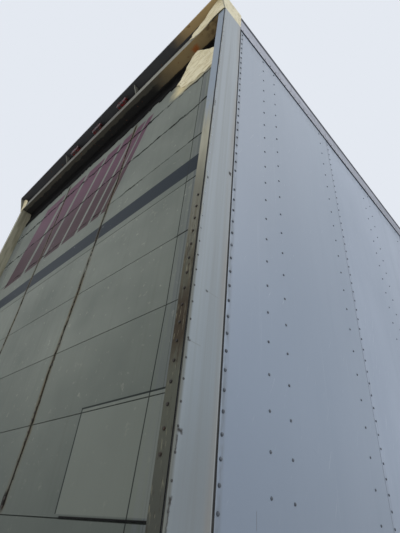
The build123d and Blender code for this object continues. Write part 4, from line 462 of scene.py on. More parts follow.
doorPaint = makeFinish("polyester_door_face", {
    "base": "#70756e", "roughness": 0.6, "shader": {"IOR": 1.5, "Specular IOR Level": 0.08},
    "layers": [
        stain("#7e837c", 0.5, tone=("Z", jointZ, jointPitch)),
        patches("#5b615c", 0.6, (500, 500, 420), (0.40, 0.70), rough=0.65),
        patches("#62665e", 0.35, (24, 24, 700), (0.50, 0.75), seed=2),
        patches("#a2a297", 0.45, (30, 30, 26), (0.64, 0.76), seed=3, rough=0.6),
        stain("#434946", 0.80, ("Z", 1.2, 1.90, 0.50), rough=0.6),
        stain("#666a62", 0.3, doorFace, ("Y", -1.2, -1.072, 0.004)),
        stain("#666a62", 0.3, doorFace, ("Y", 1.072, 1.2, 0.004)),
        patches("#5b5f62", 0.6, (12, 12, 420), (0.36, 0.60), doorFace, ("Side", 1.033, 1.2, 0.001)),
        stain("#3a3f3f", 0.5, doorFace, ("Side", 1.0705, 1.0735, 0.0008)),
    ] + barLayers() + [
        patches("#0b1822", 0.97, (30, 60, 30), (0.20, 0.30), doorFace, ("Z", 2.8305, 2.9265, 0.0015),
            ("Y", -1.14, 1.14, 0.002), rough=0.5),
        # the empty framed sign near the right edge
        stain("#747971", 0.45, doorFace, ("Y", -1.2, -0.687, 0.001), ("Z", 1.697, 1.978, 0.001), rough=0.42),
        # the plate's left edge: a dark line widened with the plate's painted shadow
        stain("#161c1a", 0.92, doorFace, ("Y", -0.6930, -0.6865, 0.0010), ("Z", 1.697, 1.979, 0.0008)),
        stain("#161c1a", 0.95, doorFace, ("Y", -1.2, -0.6865, 0.0008), ("Z", 1.9742, 1.9795, 0.0008)),
        # edge line of the end stiles, leaning inwards on the lower sections; cracks in the upper joints
        stain("#121514", 0.92, doorFace, ("Z", 2.240, 3.9, 0.001),
            lines=[("Y", -1.029, 2.058, 0.0020, 0.0013)]),
    ] + [
        stain("#121514", 0.92, doorFace, ("Z", 1.0, 2.240, 0.001),
            lines=[((0, side, 0.035), -0.9506, 10, 0.0021, 0.0013)]) for side in (1, -1)
    ] + [
        stain("#222624", 0.85, doorFace, ("Z", 1.60, 3.70, 0.01),
            lines=[("Z", jointZ, jointPitch, 0.0014, 0.0012)], rough=0.8),
        stain("#0c0d0c", 0.95, doorFace, ("Z", 2.30, 3.70, 0.01), ("Side", 1.02, 1.2, 0.012),
            lines=[("Z", jointZ, jointPitch, 0.0030, 0.0014)], rough=0.9),
        stain("#050505", 1.0, doorFace, ("Z", 1.6858, 1.6932, 0.0012), ("Y", -1.2, -0.712, 0.004)),
        patches("#0c0d0c", 0.97, (40, 90, 26), (0.42, 0.47), doorFace, ("Z", 3.6075, 3.6255, 0.002, 60, 60),
            rough=0.9, lift=-1.5, seed=11),
        patches("#0c0d0c", 0.97, (40, 110, 26), (0.44, 0.49), doorFace,
            ("Z", 3.3350, 3.3490, 0.002, 40, 60), rough=0.9, lift=-1.5, seed=12),
        patches("#151613", 0.92, (40, 120, 26), (0.49, 0.54), doorFace,
            ("Z", 3.0605, 3.0705, 0.002, 24, 50), rough=0.9, lift=-1.0, seed=13),
    ] + trailLayers() + [
        # painted sunlight: cream at the upper right corner
        stain("#d6c99f", 0.85, doorFace, ("Z", 3.64, 3.82, 0.03, 50, 40), ("Y", -1.2, -0.80, 0.05, 70, 50)),
        patches("#a8946a", 0.7, (10, 10, 90), (0.48, 0.62), doorFace, ("Z", 3.66, 3.82, 0.03),
            ("Y", -1.2, -0.84, 0.05), sway=(28, 0, 0), seed=9),
        waves(0.5, (300, 300, 140), 10, detail=1.0),
    ]})

# Extruded aluminium, mill finish, weathered: soft grey-lilac metal with a dull oxide bloom and black runs
railMetal = makeFinish("weathered_extruded_aluminium", {
    "base": "#82858d", "roughness": 0.58, "shader": bareMetal,
    "layers": [
        patches("#6b6e76", 0.7, (300, 300, 40), (0.40, 0.70), rough=0.6),
        patches("#a0a2a6", 0.5, (40, 40, 14), (0.55, 0.72), seed=2),
        patches("#56575b", 0.6, (14, 14, 90), (0.60, 0.74), seed=3, rough=0.75),
        # a dark line along the lower edge; a dark band over the top of the outer face and drip edge, partly
        # sealant and partly painted shade under the roof's edge
        stain("#1d1f22", 0.93, ("Z", 3.9335, 3.9400, 0.001), rough=0.85),
        stain("#23262d", 0.92, ("Z", 4.0465, 4.1018, 0.0015), ("Side", 1.2128, 1.23, 0.0004), rough=0.7),
        patches("#5d5a55", 0.75, (70, 70, 34), (0.42, 0.66), ("Z", 1.1, 1.30, 0.05), seed=4, rough=0.8),
        patches("#39393b", 0.7, (60, 60, 3.0), (0.70, 0.74), seed=5, lift=-0.15),
    ]})

# The same extrusion stood on end as the nose's corner posts: rain runs down it, insects and road film
# at its face
cornerMetal = makeFinish("weathered_corner_extrusion", {
    "base": "#8b8c91", "roughness": 0.55, "shader": bareMetal,
    "layers": [
        patches("#717278", 0.7, (60, 60, 700), (0.40, 0.68), rough=0.62),
        patches("#a5a5a8", 0.45, (14, 14, 420), (0.56, 0.74), seed=2),
        patches("#54555a", 0.55, (9, 9, 260), (0.62, 0.76), seed=3, rough=0.75),
        patches("#5d5a55", 0.7, (50, 50, 90), (0.42, 0.66), ("Z", 1.0, 1.45, 0.25), seed=4, rough=0.8),
        patches("#3a3531", 0.7, (7, 7, 7), (0.68, 0.72), seed=5, rough=0.85),
    ]})

# Rolled aluminium roof skin: dull silver with rain stains that run to the edges and soft waves between bows
roofMetal = makeFinish("rolled_aluminium_roof", {
    "base": "#bcbec1", "roughness": 0.42, "shader": bareMetal,
    "layers": [
        patches("#9a9ca0", 0.7, (900, 500, 500), (0.40, 0.68), rough=0.55),
        patches("#77787a", 0.6, (60, 500, 60), (0.55, 0.75), seed=2, rough=0.7),
        patches("#5f605d", 0.6, (30, 30, 30), (0.66, 0.72), seed=3, rough=0.8),
        {"lines": [("X", studX, trailer["postPitch"], 0.05, 0.05)], "lift": 1.2},
        waves(2.0, (350, 500, 350), 4, detail=1.0),
    ]})

# Hot-rolled steel frame, brushed black enamel: satin black under tan road dust, rust freckles at welds
frameBlack = makeFinish("dusty_black_chassis_enamel", {
    "base": "#1d1e20", "roughness": 0.48, "shader": enamel,
    "layers": [
        patches("#5b564c", 0.55, (190, 190, 120), (0.46, 0.72), rough=0.85),
        patches("#6f6a5e", 0.35, (16, 16, 12), (0.56, 0.70), seed=2, rough=0.9),
        patches("#5a3620", 0.75, (22, 22, 30), (0.62, 0.70), seed=3, rough=0.92, lift=0.2),
        patches("#34302c", 0.6, (60, 60, 8), (0.60, 0.70), seed=4),
    ]})

# Hot-dip galvanised steel: dull blue-grey with palm-sized spangle, white bloom and rust at cut edges
zincSteel = makeFinish("hot_dip_galvanised_steel", {
    "base": "#8f9497", "roughness": 0.5, "shader": bareMetal,
    "layers": [
        stain("#a5abae", 0.6, cells=14, rough=0.4),
        patches("#b9bbb8", 0.5, (60, 60, 60), (0.55, 0.72), rough=0.75),
        patches("#55504a", 0.6, (120, 120, 90), (0.50, 0.74), seed=2, rough=0.85),
        patches("#6d4427", 0.75, (18, 18, 26), (0.66, 0.73), seed=3, rough=0.9),
    ]})

# Turned, forged steel under old grease: dark bare metal with turning marks and black smears
forgedMetal = makeFinish("greased_forged_steel", {
    "base": "#6f6b66", "roughness": 0.34, "shader": bareMetal,
    "layers": [
        patches("#57534f", 0.6, (60, 60, 1.6), (0.45, 0.6), lift=0.05),
        patches("#1c1916", 0.85, (24, 24, 18), (0.48, 0.60), seed=2, rough=0.25),
        patches("#5c3b22", 0.6, (12, 12, 12), (0.64, 0.72), seed=3, rough=0.85),
    ]})

# Spring steel, primed black and long rusted: brown-black scale, orange rust between the leaves
springMetal = makeFinish("rusted_spring_steel", {
    "base": "#2b2623", "roughness": 0.72, "shader": enamel,
    "layers": [
        patches("#5b3a24", 0.8, (30, 30, 14), (0.44, 0.62), rough=0.92, lift=0.15),
        patches("#7e5030", 0.7, (12, 12, 8), (0.60, 0.70), seed=2),
        patches("#5f5a50", 0.5, (140, 140, 90), (0.50, 0.74), seed=3, rough=0.95),
    ]})

# Moulded rubber: matt charcoal, grey with dust, scuffed paler on its faces
mouldedRubber = makeFinish("moulded_black_rubber", {
    "base": "#232324", "roughness": 0.78, "shader": rubbery,
    "layers": [
        patches("#57544d", 0.55, (160, 160, 120), (0.44, 0.74), rough=0.92),
        patches("#3b3a38", 0.6, (10, 10, 60), (0.52, 0.68), seed=2),
        waves(0.12, (7, 7, 7), 3),
    ]})

# Rubber seal in the shade of the header, made near black as painted shade
shadeBlackSeal = makeFinish("seal_black_painted_shade", {
    "base": "#070708", "roughness": 0.9, "shader": {"IOR": 1.52, "Specular IOR Level": 0.08},
    "layers": [patches("#1c1a18", 0.7, (30, 60, 20), (0.5, 0.66), rough=0.95)]})

# Worn truck tyre rubber: brown-black, polished on the tread, dust in the grooves and on the sidewall
tyreRubber = makeFinish("dusty_tyre_rubber", {
    "base": "#1c1c1d", "roughness": 0.68, "shader": rubbery,
    "layers": [
        patches("#4b463e", 0.6, (90, 40, 90), (0.42, 0.70), rough=0.9),
        patches("#5e584d", 0.5, (14, 10, 14), (0.58, 0.72), seed=2, rough=0.95),
        waves(0.1, (5, 5, 5), 3),
    ]})

# Pressed steel disc wheel, powder-coated white: gloss under brake dust, brown bleeding round the holes
# the brake drum behind the discs
drumBand, drumRing = ("Side", 0.5, 0.8967, 0.0001), (-1, 0.2225, 0.0002)
wheelWhite = makeFinish("powder_coated_disc_wheel", {
    "base": "#c9c9c3", "roughness": 0.38, "shader": enamel,
    "layers": [
        patches("#8f8b80", 0.7, (80, 60, 80), (0.40, 0.68), rough=0.65),
        patches("#5d564a", 0.6, (20, 14, 20), (0.56, 0.70), seed=2, rough=0.8),
        patches("#6d4529", 0.8, (9, 9, 22), (0.63, 0.70), seed=3, rough=0.9),
        # cast hub and drum in grey and rust
        stain("#3d3a37", 1.0, rings=[(-1, 0.1093, 0.0002)], rough=0.7),
        stain("#55504a", 0.9, ("Side", 1.03, 1.10, 0.001), rings=[(0.067, 0.0905, 0.0005)]),
        stain("#3a322c", 1.0, drumBand, rings=[drumRing], rough=0.8),
        patches("#70452a", 0.7, (30, 14, 30), (0.42, 0.62), drumBand, rings=[drumRing], seed=5, rough=0.9),
    ]})

# Moulded polycarbonate lenses: clear gloss over a prismatic back, deep red and amber, dulled by dust
lensPrisms = [
    {"cells": 5, "amount": 0.35, "lift": 0.5},
    patches("#3a3230", 0.45, (26, 26, 18), (0.52, 0.72), rough=0.5),
]
redLens = makeFinish("red_polycarbonate_lens", {
    "base": "#6d0f14", "roughness": 0.12, "shader": {"IOR": 1.585},
    "layers": [stain("#38060b", 0.85, cells=6)] + lensPrisms + [
        # the lamps in the header darkened near black: soot and painted shade of the recess under the visor
        patches("#120506", 0.95, (26, 22, 22), (0.34, 0.54), ("Z", 3.95, 4.11, 0.002),
            ("Side", -1, 0.6, 0.01), rough=0.4)]})
amberLens = makeFinish("amber_polycarbonate_lens", {
    "base": "#d0730e", "roughness": 0.12, "shader": {"IOR": 1.585},
    "layers": [stain("#94480a", 0.8, cells=6)] + lensPrisms})

# Retroreflective sheeting: flat plastic film, slightly pearly, with a fine embossed grid and dirty edges
tapeWear = [
    {"cells": 3.5, "amount": 0.25, "lift": 0.05},
    patches("#6a625a", 0.55, (70, 30, 22), (0.50, 0.70), rough=0.7),
    patches("#3c3733", 0.7, (14, 10, 10), (0.64, 0.70), seed=2, rough=0.8),
]
redTape = makeFinish("red_reflective_sheeting", {
    "base": "#b3242b", "roughness": 0.3, "shader": {"IOR": 1.49}, "layers": tapeWear})
whiteTape = makeFinish("white_reflective_sheeting", {
    "base": "#dcdcd8", "roughness": 0.3, "shader": {"IOR": 1.49}, "layers": tapeWear})
# Zinc-plated nuts gone dull and rust-tinged
nutSteel = makeFinish("plated_nuts_and_bolts", {
    "base": "#8b8880", "roughness": 0.5, "shader": bareMetal,
    "layers": [patches("#54493d", 0.8, (14, 14, 14), (0.42, 0.62), rough=0.8),
               patches("#7a4a2a", 0.7, (7, 7, 7), (0.56, 0.66), seed=2, rough=0.9)]})
# Cast air couplings on a grey plate: the couplings dipped in paint, red on the right line, blue on the left
couplingPaint = makeFinish("painted_air_couplings", {
    "base": "#83878a", "roughness": 0.45, "shader": enamel,
    "layers": [stain("#a02c26", 1.0, ("X", 7.2385, 7.40, 0.0002), ("Y", -0.5, 0.0, 0.001)),
               stain("#24508f", 1.0, ("X", 7.2385, 7.40, 0.0002), ("Y", 0.0, 0.5, 0.001)),
               patches("#8d8c88", 0.9, (9, 9, 9), (0.58, 0.64), rough=0.6),
               patches("#3b3733", 0.6, (22, 22, 22), (0.48, 0.70), seed=2, rough=0.75)]})

# Laminated oak floor: 38 mm strips with finger joints, oiled grey-brown, road spray on the underside
deckOak = makeFinish("laminated_oak_floor", {
    "base": "#8a6a45", "roughness": 0.62, "shader": enamel,
    "layers": [
        stain("#6d4f31", 0.8, tone=("Y", 0.0, 0.038)),
        patches("#a5835a", 0.6, (900, 9, 9), (0.48, 0.66), seed=2),
        patches("#54401f", 0.6, (260, 2.4, 2.4), (0.50, 0.66), seed=3, lift=0.1),
        stain("#3d2c1a", 0.8, lines=[("Y", 0.0, 0.038, 0.0005, 0.0005)], rough=0.8),
        patches("#4e483e", 0.7, (260, 200, 100), (0.44, 0.70), seed=4, rough=0.85),
    ]})

# Zinc-plated and painted fasteners: grey heads with dark rims, brown where the plating has gone
# dark heads: dirt and the painted shade under each head
rivetMetal = makeFinish("painted_rivet_heads", {
    "base": "#454d57", "roughness": 0.42, "shader": enamel,
    "layers": [
        patches("#2a3038", 0.8, (18, 18, 18), (0.40, 0.60), rough=0.6),
        patches("#7d8792", 0.5, (9, 9, 9), (0.58, 0.70), seed=2),
    ]})
seamRivetMetal = makeFinish("enamelled_seam_rivets", {
    "base": "#8b949e", "roughness": 0.3, "shader": enamel,
    "layers": [
        patches("#4d545c", 0.8, (14, 14, 14), (0.46, 0.62), rough=0.55),
        patches("#5b4a38", 0.6, (30, 30, 60), (0.62, 0.70), seed=2),
        # the screws round the post's corner have rusted low down
        stain("#26231f", 0.9, ("X", rear - 0.01, rear + 0.03, 0.004), ("Z", 1.0, 2.42, 0.12), rough=0.85),
    ]})
railRivetMetal = makeFinish("mill_finish_rivets", {
    "base": "#8d8a8f", "roughness": 0.5, "shader": bareMetal,
    "layers": [patches("#55545a", 0.8, (12, 12, 12), (0.42, 0.6), rough=0.7)]})
# Polyurethane sealant, dried and dirty: nearly black, dull
oldSealant = makeFinish("dried_black_sealant", {
    "base": "#121314", "roughness": 0.8, "shader": {"IOR": 1.5, "Specular IOR Level": 0.25},
    "layers": [patches("#3a3a38", 0.6, (8, 8, 60), (0.50, 0.66), rough=0.9)]})
rustyBolt = makeFinish("rusted_zinc_bolts", {
    "base": "#211c17", "roughness": 0.75, "shader": enamel,
    "layers": [
        patches("#3d2b1a", 0.75, (8, 8, 10), (0.50, 0.64), rough=0.9, lift=0.1),
        patches("#141210", 0.85, (16, 16, 16), (0.50, 0.62), seed=2),
    ]})
print("trailer: finishes made")


# Each node of the frame gets its finish

nodeFinishes = {
    "floor_deck": deckOak,
    "bottom_rails": railMetal, "top_rails": railMetal, "front_corner_posts": cornerMetal,
    "side_wall_left": sheetPaint, "side_wall_right": sheetPaint, "front_wall": sheetPaint,
    "roof": roofMetal,
    "rear_header": headerPaint, "rear_posts": postPaint, "rear_sill": sillPaint, "rear_guard": sillPaint,
    "door_sections": doorPaint,
    "door_seal": shadeBlackSeal, "dock_bumpers": mouldedRubber, "mud_flaps": mouldedRubber,
    "door_latch": zincSteel, "leg_drive": zincSteel, "gladhands": couplingPaint, "electric_socket": zincSteel,
    "leg_feet": zincSteel,
    "red_lamps": redLens, "tail_lamps": redLens, "amber_lamps": amberLens,
    "kingpin": forgedMetal, "lock_pins": forgedMetal,
    "leaf_springs": springMetal,
}
for name, node in nodes.items():
    finish = nodeFinishes.get(name, frameBlack)
    if name.startswith("wheel_"):
        finish = wheelWhite
    elif name.startswith("tyres_"):
        finish = tyreRubber
    node.data.materials.clear()
    node.data.materials.append(finish)
print("trailer: finishes on the frame's nodes")


# Small solids: skins over loops of points, rods, rings and slabs

def skin(shape, loops, smooth=True):
    # over a stack of loops, flat at both ends
    for under, over in zip(loops, loops[1:]):
        for n in range(len(under)):
            m = (n + 1) % len(under)
            shape.faces.new((under[n], under[m], over[m], over[n])).smooth = smooth
    shape.faces.new(reversed(loops[0]))
    shape.faces.new(loops[-1])


def ringSkin(shape, loops, isSmooth=lambda n: True):
    # over loops that come back to the first one
    for here, there in zip(loops, loops[1:] + loops[:1]):
        for n in range(len(here)):
            m = (n + 1) % len(here)
            shape.faces.new((here[n], here[m], there[m], there[n])).smooth = isSmooth(n)


def around(centre, along, radius, angle, axis="Y"):
    # point on a circle about an axis through the centre, and how far it lies along that axis
    x, y, z = centre
    level, rise = radius * math.sin(angle), radius * math.cos(angle)
    return (x + level, y + along, z + rise) if axis == "Y" else (x + along, y + rise, z + level)


def turnedRing(shape, centre, profile, segments, axis="Y"):
    # closed section (along the axis, radius) turned about it
    ringSkin(shape, [[shape.verts.new(around(centre, along, radius, math.tau * n / segments, axis))
                      for along, radius in profile] for n in range(segments)])


def bentRod(shape, path, radius, edges=8):
    # rod through the points of a path, mitred at its bends and closed at both ends
    points = [Vector(p) for p in path]
    loops = []
    across = None
    for n, point in enumerate(points):
        back = (point - points[n - 1]).normalized() if n else (points[1] - point).normalized()
        on = (points[n + 1] - point).normalized() if n + 1 < len(points) else back
        along = (back + on).normalized()
        if across is None:
            across = along.orthogonal().normalized()
        across = (across - along * across.dot(along)).normalized()
        third = along.cross(across)
        stretch = 1.0 / max(0.35, along.dot(back))
        loops.append([shape.verts.new(point + radius * stretch * (
            math.cos(math.tau * k / edges) * across + math.sin(math.tau * k / edges) * third))
            for k in range(edges)])
    skin(shape, loops)


def slab(shape, low, high, edge):
    # box with its edges broken by a small bevel
    made = bmesh.ops.create_cube(shape, size=1.0)
    size = [h - l for l, h in zip(low, high)]
    middle = [(h + l) / 2 for l, h in zip(low, high)]
    for vert in made["verts"]:
        vert.co = Vector(m + c * s for m, c, s in zip(middle, vert.co, size))
    edges = list({e for v in made["verts"] for e in v.link_edges})
    bmesh.ops.bevel(shape, geom=edges, offset=edge, segments=1, affect="EDGES")


# Fasteners: small turned or six-sided heads, repeated by node trees

def turnedHead(name, stacks, smooth):
    # stacks: (number of sides, (radius, height), ...) in mm along z
    mesh = bpy.data.meshes.new(name)
    shape = bmesh.new()
    for edges, *profile in stacks:
        turns = [math.tau * n / edges for n in range(edges)]
        profile = [(radius / 1000, height / 1000) for radius, height in profile]
        skin(shape, [[shape.verts.new((radius * math.cos(a), radius * math.sin(a), height)) for a in turns]
                     for radius, height in profile], smooth)
    shape.normal_update()
    shape.to_mesh(mesh)
    shape.free()
    return addObject(name, mesh)


def openTree(name, inputs):
    tree = bpy.data.node_groups.new(name, "GeometryNodeTree")
    for label, kind in inputs:
        tree.interface.new_socket(name=label, in_out="INPUT", socket_type="NodeSocket" + kind)
    tree.interface.new_socket(name="Geometry", in_out="OUTPUT", socket_type="NodeSocketGeometry")
    return tree, addNode(tree, "NodeGroupInput").outputs


def closeTree(tree, geometry, finish):
    whole = addNode(tree, "GeometryNodeRealizeInstances", {0: geometry})
    painted = addNode(tree, "GeometryNodeSetMaterial", {"Geometry": whole.outputs[0], "Material": finish})
    addNode(tree, "NodeGroupOutput", {0: painted.outputs[0]})


def rivetField():
    # heads at equal steps along a line, and that line repeated in rows
    tree, given = openTree("rivetField", [
        ("Head", "Object"), ("Start", "Vector"), ("Step", "Vector"), ("Count", "Int"), ("Row Step", "Vector"),
        ("Rows", "Int"), ("Turn", "Rotation"), ("Missing", "Float"), ("Seed", "Int"), ("Finish", "Material")])
    line = addNode(tree, "GeometryNodeMeshLine", {
        "Count": given["Count"], "Start Location": given["Start"], "Offset": given["Step"]}, mode="OFFSET")
    across = addNode(tree, "GeometryNodeMeshLine", {"Count": given["Rows"], "Offset": given["Row Step"]},
                     mode="OFFSET")
    rows = addNode(tree, "GeometryNodeInstanceOnPoints", {
        "Points": line.outputs[0], "Instance": across.outputs[0]})
    spots = addNode(tree, "GeometryNodeRealizeInstances", {0: rows.outputs[0]})
    lost = addNode(tree, "FunctionNodeRandomValue", {"Probability": given["Missing"], "Seed": given["Seed"]},
                   data_type="BOOLEAN")
    kept = addNode(tree, "GeometryNodeDeleteGeometry", {
        "Geometry": spots.outputs[0], "Selection": lost.outputs[3]})
    head = addNode(tree, "GeometryNodeObjectInfo", {"Object": given["Head"]})
    heads = addNode(tree, "GeometryNodeInstanceOnPoints", {
        "Points": kept.outputs[0], "Instance": head.outputs["Geometry"], "Rotation": given["Turn"]})
    closeTree(tree, heads.outputs[0], given["Finish"])
    return tree


def boltCircle():
    # heads round a circle, each turned with its place, then the circle set upright where it belongs
    tree, given = openTree("boltCircle", [
        ("Head", "Object"), ("Centre", "Vector"), ("Radius", "Float"), ("Count", "Int"),
        ("Start Angle", "Float"), ("Turn", "Rotation"), ("Finish", "Material")])
    circle = addNode(tree, "GeometryNodeMeshCircle", {"Vertices": given["Count"], "Radius": given["Radius"]})
    step = compute(tree, "DIVIDE", math.tau, given["Count"])
    angle = compute(tree, "MULTIPLY", addNode(tree, "GeometryNodeInputIndex").outputs[0], step)
    facing = addNode(tree, "ShaderNodeCombineXYZ", {2: angle})
    head = addNode(tree, "GeometryNodeObjectInfo", {"Object": given["Head"]})
    heads = addNode(tree, "GeometryNodeInstanceOnPoints", {
        "Points": circle.outputs[0], "Instance": head.outputs["Geometry"], "Rotation": facing.outputs[0]})
    whole = addNode(tree, "GeometryNodeRealizeInstances", {0: heads.outputs[0]})
    first = addNode(tree, "ShaderNodeCombineXYZ", {2: given["Start Angle"]})
    turned = addNode(tree, "GeometryNodeTransform", {
        "Geometry": whole.outputs[0], "Rotation": first.outputs[0]})
    placed = addNode(tree, "GeometryNodeTransform", {
        "Geometry": turned.outputs[0], "Translation": given["Centre"], "Rotation": given["Turn"]})
    closeTree(tree, placed.outputs[0], given["Finish"])
    return tree


fieldTree, circleTree = rivetField(), boltCircle()
lostShare = 0.006       # heads that are missing, here and there
# which way a head faces, as turns about x, y and z
facings = {
    "left": (-math.pi / 2, 0, 0), "right": (math.pi / 2, 0, 0), "back": (0, -math.pi / 2, 0),
    "ahead": (0, math.pi / 2, 0), "up": (0, 0, 0), "down": (math.pi, 0, 0),
}


def runTree(tree, values):
    # one evaluation of a node tree with these named inputs, as a plain mesh
    host = addObject("host", bpy.data.meshes.new("host"))
    modifier = host.modifiers.new(tree.name, "NODES")
    modifier.node_group = tree
    sockets = {item.name: item.identifier for item in tree.interface.items_tree if item.in_out == "INPUT"}
    for label, value in values.items():
        modifier[sockets[label]] = value
    seen = host.evaluated_get(bpy.context.evaluated_depsgraph_get())
    mesh = bpy.data.meshes.new_from_object(seen)
    host.modifiers.remove(modifier)
    bpy.data.objects.remove(host)
    return mesh


def joinMeshes(name, meshes, finish, body):
    # one piece on one body from several meshes; the object stays at the origin
    whole = bmesh.new()
    for mesh in meshes:
        whole.from_mesh(mesh)
        bpy.data.meshes.remove(mesh)
    mesh = bpy.data.meshes.new(name)
    whole.to_mesh(mesh)
    whole.free()
    mesh.materials.clear()
    mesh.materials.append(finish)
    piece = addObject(name, mesh)
    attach(piece, body)
    return piece


def shapePiece(name, shape, finish, body):
    # turns a finished bmesh into a piece that rides its body
    bmesh.ops.recalc_face_normals(shape, faces=shape.faces[:])
    mesh = bpy.data.meshes.new(name)
    shape.to_mesh(mesh)
    shape.free()
    return joinMeshes(name, [mesh], finish, body)


def fieldPiece(name, rows, finish, body):
    # rows: (head, start, step, count, facing[, row step, rows]); a head now and then is missing
    meshes = []
    for number, (head, start, step, count, facing, *more) in enumerate(rows):
        rowStep, rowCount = more or ((0, 0, 0), 1)
        meshes.append(runTree(fieldTree, {
            "Head": heads[head], "Start": start, "Step": step, "Count": count, "Row Step": rowStep,
            "Rows": rowCount, "Turn": facings[facing], "Missing": lostShare, "Seed": number + 3,
            "Finish": finish}))
    return joinMeshes(name, meshes, finish, body)


def circlePiece(name, circles, finish, body):
    # circles: (head, centre, radius, count, start angle, facing)
    meshes = [runTree(circleTree, {
        "Head": heads[head], "Centre": centre, "Radius": radius, "Count": count, "Start Angle": angle,
        "Turn": facings[facing], "Finish": finish}) for head, centre, radius, count, angle, facing in circles]
    return joinMeshes(name, meshes, finish, body)


# all sink half a millimetre into what they hold
headShapes = {
    "wallRivet": [(8, (4.7, -0.5), (4.7, 0.6), (3.4, 2.3), (1.1, 3.0))],
    "seamRivet": [(10, (5.0, -0.5), (5.0, 0.8), (3.7, 2.8), (1.2, 3.7))],
    "railRivet": [(8, (4.0, -0.5), (4.0, 0.5), (2.8, 1.8), (0.9, 2.4))],
    "stripBolt": [(8, (4.6, -0.5), (4.6, 0.8)), (6, (3.7, 0.6), (3.7, 2.8), (3.0, 3.4))],
    "smallScrew": [(8, (3.0, -0.5), (3.0, 0.5), (1.9, 1.4))],
    "carriageBolt": [(10, (6.2, -0.5), (6.2, 0.5), (4.5, 1.7), (1.5, 2.2))],
    "frameBolt": [(14, (15.0, -0.5), (15.0, 2.2)), (6, (11.8, 2.0), (11.8, 10.5), (10.0, 11.8))],
    "smallBolt": [(12, (9.0, -0.5), (9.0, 1.4)), (6, (7.4, 1.2), (7.4, 6.6), (6.2, 7.4))],
    "capScrew": [(6, (5.6, -0.5), (5.6, 4.0), (4.6, 4.7))],
    "lugNut": [(16, (22.5, -0.5), (22.5, 4.0), (19.8, 7.0)), (6, (18.8, 6.5), (18.8, 24.0), (16.5, 26.5)),
               (12, (10.8, 26.0), (10.8, 38.0), (9.2, 39.8))],
}
roundHeads = ("wallRivet", "seamRivet", "railRivet", "smallScrew", "carriageBolt")
heads = {name: turnedHead(name, stacks, name in roundHeads) for name, stacks in headShapes.items()}


# Side walls: rivets along the post seam, two columns at each wall post, a close row at each lap

wallRivets = {
    "seam": 0.1480,            # from the rear face
    "columns": (0.3365, 0.4385),
    "pitch": 0.1016,
    "closePitch": 0.0508,
    "lapRow": 0.014,           # ahead of the sheet's edge
    "low": 1.3605, "high": 3.915,
    "cornerPost": 0.125,       # the front corner post begins this far behind the nose
    "lastRow": 0.016,
}


def wallRows(side, facing):
    rows = []
    tall = wallRivets["high"] - wallRivets["low"]
    closeCount = int(tall / wallRivets["closePitch"]) + 1
    wideCount = int(tall / wallRivets["pitch"]) + 1
    close, wide = (0, 0, wallRivets["closePitch"]), (0, 0, wallRivets["pitch"])
    sheetEnd = nose - wallRivets["cornerPost"]

    def face(x):
        # odd sheets lie one thickness further in
        number = math.floor((x - rear - trailer["firstLap"]) / trailer["lapPitch"]) + 1
        return side * (trailer["sheet"] - trailer["lap"] * (number % 2))

    def addRow(head, x, step, count):
        rows.append((head, (x, face(x), wallRivets["low"]), step, count, facing))

    addRow("seamRivet", rear + wallRivets["seam"], close, closeCount)
    post = 0
    while True:
        first, second = (rear + place + post * trailer["postPitch"] for place in wallRivets["columns"])
        if second > sheetEnd - 0.02:
            break
        addRow("wallRivet", first, wide, wideCount)
        if post % 2:
            lap = rear + trailer["firstLap"] + (post // 2) * trailer["lapPitch"]
            addRow("wallRivet", lap + wallRivets["lapRow"], close, closeCount)
        else:
            addRow("wallRivet", second, wide, wideCount)
        post += 1
    # the last row holds the sheet to the front corner post
    addRow("wallRivet", sheetEnd - wallRivets["lastRow"], close, closeCount)
    return rows


for side, word in bothSides:
    fieldPiece("wall_rivets_" + word, wallRows(side, word), rivetMetal, "trailer")
print("trailer: wall rivets set")

# Rails: one row along the top rail, pairs along the bottom rail's lip, bolts at each crossmember

railRivets = {
    "topRow": 3.952, "lipRow": 1.2955, "pitch": 0.0508, "beamPitch": 0.3048,
    "firstBeam": 0.2804,   # centre of the rearmost crossmember, from the rear face
    "beamBolts": 1.168, "beamHalf": 0.017, "hollow": 0.012,
}


def railRows(side, facing):
    y = side * half
    start, end = rear + 0.150, nose - 0.145
    count = int((end - start) / railRivets["pitch"])
    step = (railRivets["pitch"], 0, 0)
    rows = [
        ("railRivet", (start, y, railRivets["topRow"]), step, count, facing),
        ("railRivet", (start + 0.025, y, railRivets["lipRow"]), step, count, facing),
    ]
    beams = int((nose - 2.0 - rear) / railRivets["beamPitch"])
    hollow = side * (half - railRivets["hollow"])
    for dx in (-railRivets["beamHalf"], railRivets["beamHalf"]):
        rows.append(("smallBolt", (rear + railRivets["firstBeam"] + dx, hollow, railRivets["beamBolts"]),
                     (railRivets["beamPitch"], 0, 0), beams, facing, (0, 0, 0.030), 2))
    return rows


for side, word in bothSides:
    fieldPiece("rail_fasteners_" + word, railRows(side, word), railRivetMetal, "trailer")

# Sealant in the seam between post and first sheet, squeezed out as a thin dark bead
seamBead = {"from": rear + 0.1277, "to": rear + 0.1385, "proud": 0.0018, "low": 1.311, "high": 3.934}


